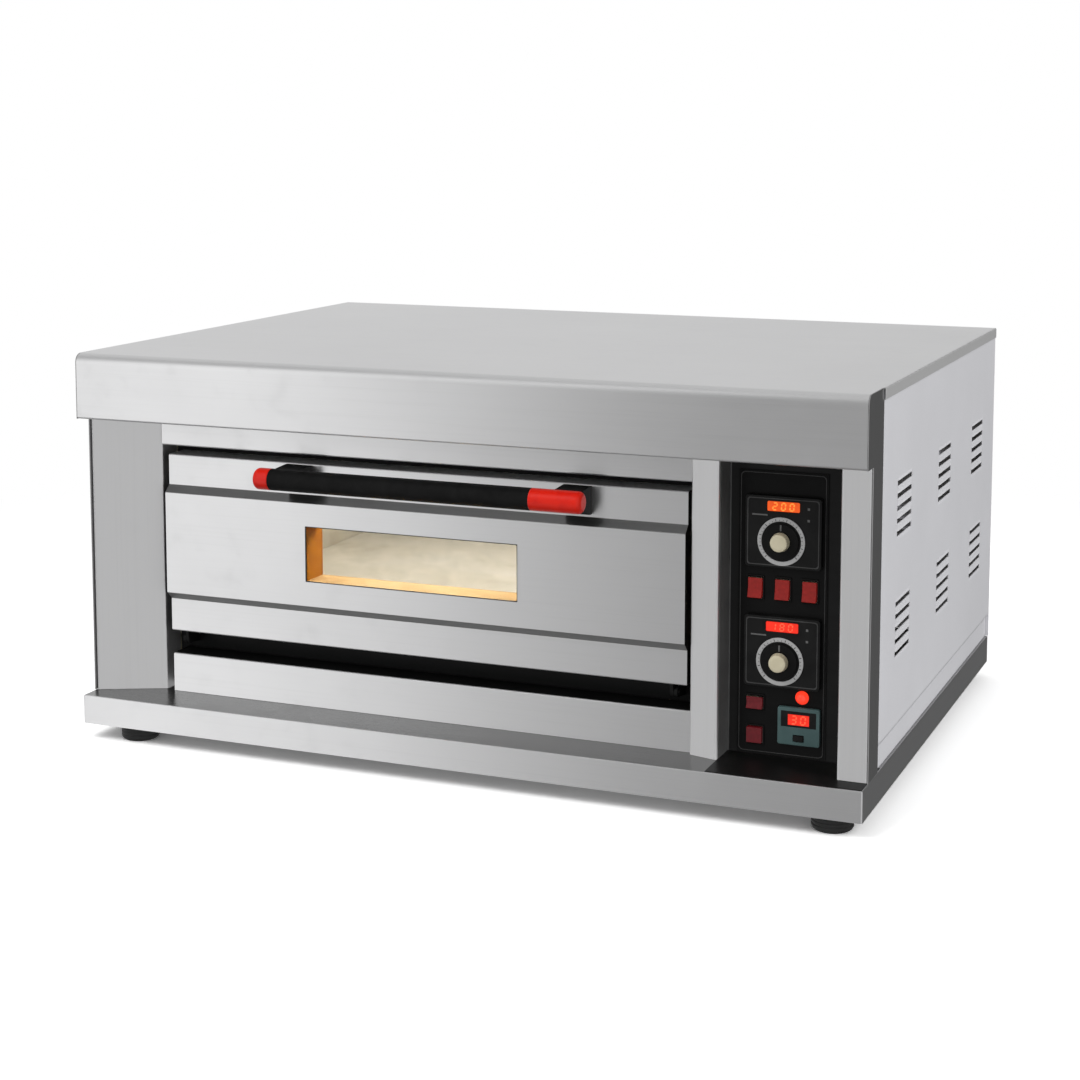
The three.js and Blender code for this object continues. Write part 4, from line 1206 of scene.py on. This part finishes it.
def dial(name):
    """A black skirt with a raised pointer and a fluted ivory knob."""
    node = f"{name}_dial"
    low, high, middle, half = space(node)
    radius = half.x / MM
    centre = (middle.x, PLATE - GAP - REACH * MM, middle.z)
    tip = (centre[1] - low.y) / MM
    skirt = soft_profile([(0.3, 3), (0.3, radius), (3, radius), (4, 15), (4.2, 0)], 0.9)
    bm = turned([(-10, 0), (-10, 3), *skirt], centre, OUT, 80)
    stand_in(node, "skirt", bm, BLACK_PLASTIC, "black_plastic", node)
    pointer = slab(on_face(*centre), (-1.2, 1.2), (15, 23.6), (2.5, 4.6), 0.5)
    piece(f"{node}_pointer", pointer, MARK_GREY, "dial", node)
    knob = soft_profile([(4, 0), (4, 13.6), (tip - 0.8, 12), (tip, 8), (tip, 0)], 1.6, 6)
    bm = fluted(turned(knob, centre, OUT, 96), centre, 0.03, 24, (5, tip - 1.5, 9))
    piece(f"{node}_knob", bm, IVORY, "ivory_plastic", node)


def switches():
    """Red rocker switches and a push button, each in its own black frame."""
    for node in ("power_rocker", "upper_heat_rocker", "lower_heat_rocker", "lamp_switch"):
        lens = DIM_LENS if node == "lamp_switch" else RED_LENS
        kept_shape(node, "paddle", lens, "red_lens", 0.9, 3, 20, node)
        switch_frame(node)
    bm = rounded_box(*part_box("start_button"), 1.4 * MM, 4)
    stand_in("start_button", "cap", bm, DIM_LENS, "red_lens", "start_button")
    switch_frame("start_button")


def switch_frame(node):
    """The thin black rim that a switch sits in, tall enough for its travel."""
    middle, half = space(node)[2:]
    wide, tall = half.x / MM + 0.8, half.z / MM + 1.8
    section = ((0, 0), (0, 1.6), (0.4, 2.0), (1.8, 1.6), (2.2, 0))
    stations = [(wide + grow, tall + grow, 0.8 + grow, forward) for grow, forward in section]
    bm = lofted(stations, on_face(middle.x, PLATE, middle.z), True)
    piece(f"{node}_frame", bm, BLACK_PLASTIC, "black_plastic")


def indicator_lamp():
    low, high, middle, half = space("indicator_lamp")
    radius, tip = half.x / MM, (PLATE - low.y) / MM
    lens = [(-10, 0), (-10, 4.6), (0.3, 4.6), (0.3, radius), (2.5, radius), (4, radius * 0.86)]
    lens += [(7.2, radius * 0.62), (tip, radius * 0.25), (tip, 0)]
    bm = turned(soft_profile(lens, 0.9), (middle.x, PLATE, middle.z), OUT, 48)
    stand_in("indicator_lamp", "lens", bm, LAMP_RED, "lamp_red")


def timer():
    """Square timer: teal body, black upper face with a lit display, and one key."""
    low, high, middle, half = space("timer_unit")
    x, z = middle.x, middle.z
    wide, tall = half.x / MM, half.z / MM
    place = on_face(x, low.y, z)
    body = instrument("timer_unit", low.y, 6, (3, 3, 2.7, 2.2), ((0, -1.2), (0.4, -0.35), (1.2, 0)))
    key_low, key_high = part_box("timer_button")
    well_low = (key_low.x - MM, low.y - MM, key_low.z - MM)
    well_high = (key_high.x + MM, low.y + 10 * MM, key_high.z + MM)
    well = rounded_box(well_low, well_high, 0.8 * MM)
    sink = slab(place, (5 - wide, wide - 5), (-1, tall - 5), (-0.8, 2), 0.7)
    body = without(body, well, sink)
    stand_in("timer_unit", "body", body, TEAL, "teal_plastic", smooth=30)
    inlay = slab(place, (5.2 - wide, wide - 5.2), (-0.8, tall - 5.2), (-0.75, -0.35), 0.15)
    piece("timer_face", inlay, CONTROL_PLASTIC, "black_plastic")
    window = slab(place, (-15, 15), (2, 17), (-0.35, 0.1), 0.2)
    piece("timer_display_window", window, RED_WINDOW, "display")
    readout("timer", "30", x, low.y - 0.1 * MM, z + 9.5 * MM, 11, 13, LIT_RED)
    key = rounded_box(key_low, key_high, 0.9 * MM)
    stand_in("timer_button", "key", key, CONTROL_PLASTIC, "black_plastic", "timer_button")


# ---- feet


def foot(node):
    """Rubber foot, ringed by moulded grooves, on a post up to the base's top sheet."""
    low, high, middle, half = space(node)
    radius, top = half.x / MM, high.z / MM
    shoulder = (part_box("base_tray")[0].z - GAP) / MM
    groove = radius - 1.2
    points = [(0, 0), (0, radius - 4), (2, radius - 1.5)]
    for z in (5, 10.5, 16):
        points += [(z, radius), (z + 2.6, radius), (z + 3.4, groove), (z + 4.2, groove)]
    points += [(shoulder - 1.5, radius), (shoulder, radius - 1), (shoulder, 14), (top, 14), (top, 0)]
    bm = turned(points, (middle.x, middle.y, low.z), (0, 0, 1))
    stand_in(node, "rubber", bm, RUBBER, "rubber").visible_glossy = False


# ---- studio

FLOOR_WHITE = 1.5                   # brighter than white, so only the shade near the oven shows
FLOOR_REACH = 12
FLOOR_FADE = (1.1, 2.2)             # metres from the middle over which the floor turns to glow

SOFT_BOXES = (("key", (-1.6, -2.6, 3.4), 75), ("side_fill", (3.2, -0.4, 2.2), 52))
AIM = (0, 0, 0.3)                   # what the soft boxes point at
OVEN_TINT = (1.0, 0.98, 0.96)
WINDOW_LIGHT_TILT = math.radians(-72)
EYE = (1.242, -3.1223, 0.9715)
EYE_DROP = 0.1145                   # radians down from level
EYE_TURN = 0.389                    # radians left from straight back

# Brightness of the surround by direction: degrees round from the front, positive to the right
SURROUND = [
    (-180, 0.55), (-172, 0.76), (-150, 0.80), (-110, 0.90), (-70, 0.60), (-50, 0.42), (-43, 0.68),
    (-38, 1.30), (-31, 1.52), (-27, 1.08), (-23.5, 0.46), (-19, 0.30), (-11, 0.34), (-3, 0.62),
    (6, 0.55), (16, 0.68), (30, 0.85), (45, 0.90), (60, 0.62), (80, 0.50), (100, 0.60),
    (130, 0.55), (152, 0.11), (174, 0.10), (180, 0.55),
]

# The same by height, from straight down at 0 to straight up at 1
BY_HEIGHT = [(0.0, 0.25), (0.12, 0.4), (0.3, 1.0), (0.72, 1.0), (0.9, 0.85), (1.0, 0.85)]


def studio():
    """White floor, soft light and a graded surround that the metal reflects."""
    bpy.context.scene.view_settings.view_transform = "Standard"
    mesh = bpy.data.meshes.new("floor")
    corners = [(a * FLOOR_REACH, b * FLOOR_REACH, 0) for a, b in ((-1, -1), (1, -1), (1, 1), (-1, 1))]
    mesh.from_pydata(corners, [], [(0, 1, 2, 3)])
    mesh.materials.append(floor_surface())
    ground = linked("floor", mesh)
    ground.visible_glossy = False
    ground.visible_diffuse = False
    ground.visible_shadow = False
    surround()
    for name, place, watts in SOFT_BOXES:
        aim = Vector(AIM) - Vector(place)
        area_light(name, place, (3.0, 2.0), watts, aim.to_track_quat("-Z", "Y").to_euler())


def area_light(name, place, size, watts, turn):
    """A rectangle of light that metal doesn't mirror."""
    light = bpy.data.lights.new(name, "AREA")
    light.shape = "RECTANGLE"
    light.size, light.size_y = size
    light.energy = watts
    lamp = linked(name, light)
    lamp.location = place
    lamp.rotation_euler = turn
    lamp.visible_glossy = False
    return lamp


def floor_surface():
    """A studio floor exposed past white: only the shade near the oven shows, and far off it glows."""
    material = bpy.data.materials.new("white_floor")
    tree = Nodes(material)
    tree.nodes.remove(tree.nodes["Principled BSDF"])
    matt = tree.add("BsdfDiffuse", "BSDF", {"Color": triple(FLOOR_WHITE)})
    white = tree.add("Emission", "Emission", {})
    own = tree.add("TexCoord", "Object", {})
    distance = tree.add("VectorMath", "Value", {0: own}, operation="LENGTH")
    fade = tree.span(distance, *FLOOR_FADE, 0, 1, interpolation_type="SMOOTHSTEP")
    blend = tree.add("MixShader", "Shader", {"Fac": fade, 1: matt, 2: white})
    tree.plug(tree.nodes["Material Output"].inputs["Surface"], blend)
    return material


def surround():
    """A graded world for the metal to mirror, which the camera itself sees as white."""
    world = bpy.data.worlds.new("surround")
    bpy.context.scene.world = world
    tree = Nodes(world)
    direction = tree.add("TexCoord", "Generated", {})
    axes = tree.add("SeparateXYZ", "X", {"Vector": direction}).node.outputs
    front = tree.arithmetic("MULTIPLY", axes["Y"], -1.0)
    turn = tree.arithmetic("ARCTAN2", axes["X"], front)
    around = tree.arithmetic("MULTIPLY_ADD", turn, 0.5 / math.pi, 0.5)
    up = tree.arithmetic("MULTIPLY_ADD", axes["Z"], 0.5, 0.5)
    level = tree.ramp(around, [(a / 360 + 0.5, v) for a, v in SURROUND], "EASE")
    by_height = tree.ramp(up, [(h, v) for h, v in BY_HEIGHT], "EASE")
    graded = tree.arithmetic("MULTIPLY", level, by_height)
    seen = tree.add("LightPath", "Is Camera Ray", {})
    strength = tree.add("Mix", 0, {0: seen, 2: graded, 3: 1.0}, data_type="FLOAT")
    background = tree.nodes["Background"]
    tree.plug(background.inputs["Color"], triple(1))
    tree.plug(background.inputs["Strength"], strength)


def chamber_lights():
    """Even light straight down on the deck, and a narrow one tilted forward at the window."""
    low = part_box("chamber_ceiling")[0]
    middle = space("chamber_ceiling")[2]
    left, right = window_edges()[:2]
    under = low.z - 4 * MM
    by_window = ((left + right) / 2, low.y + 90 * MM, under - 20 * MM)
    deck = area_light("deck_light", (middle.x, middle.y, under), (0.75, 0.56), 3.2, (0, 0, 0))
    window = area_light("window_light", by_window, (0.5, 0.05), 1.8, (WINDOW_LIGHT_TILT, 0, 0))
    for lamp in (deck, window):
        lamp.data.color = OVEN_TINT
        lamp.visible_camera = False


def camera():
    """The eye: in front, to the right and above, turned left and tipped a little down."""
    data = bpy.data.cameras.new("camera")
    data.lens = 70.7
    data.sensor_width = 36
    data.shift_y = -0.18
    eye = linked("camera", data)
    eye.location = EYE
    eye.rotation_euler = (QUARTER - EYE_DROP, 0, EYE_TURN)
    bpy.context.scene.camera = eye


camera()
top_cover()
base_tray()
for side in ("left", "right"):
    end_plate(side)
    side_panel(side)
rear_panel()
cable_gland()
left_pilaster()
inner_right_pilaster()
outer_right_pilaster()
upper_trim()
lower_front_panel()
door_skin()
door_liner()
window_gasket()
panes()
handle()
hinges()
chamber()
control_recess()
control_plate()
controller("upper", "200", ORANGE_WINDOW, LIT_ORANGE)
controller("lower", "180", RED_WINDOW, LIT_RED)
dial("upper")
dial("lower")
switches()
indicator_lamp()
timer()
for row in ("front", "rear"):
    for side in ("left", "right"):
        foot(f"{row}_{side}_foot")
studio()
chamber_lights()
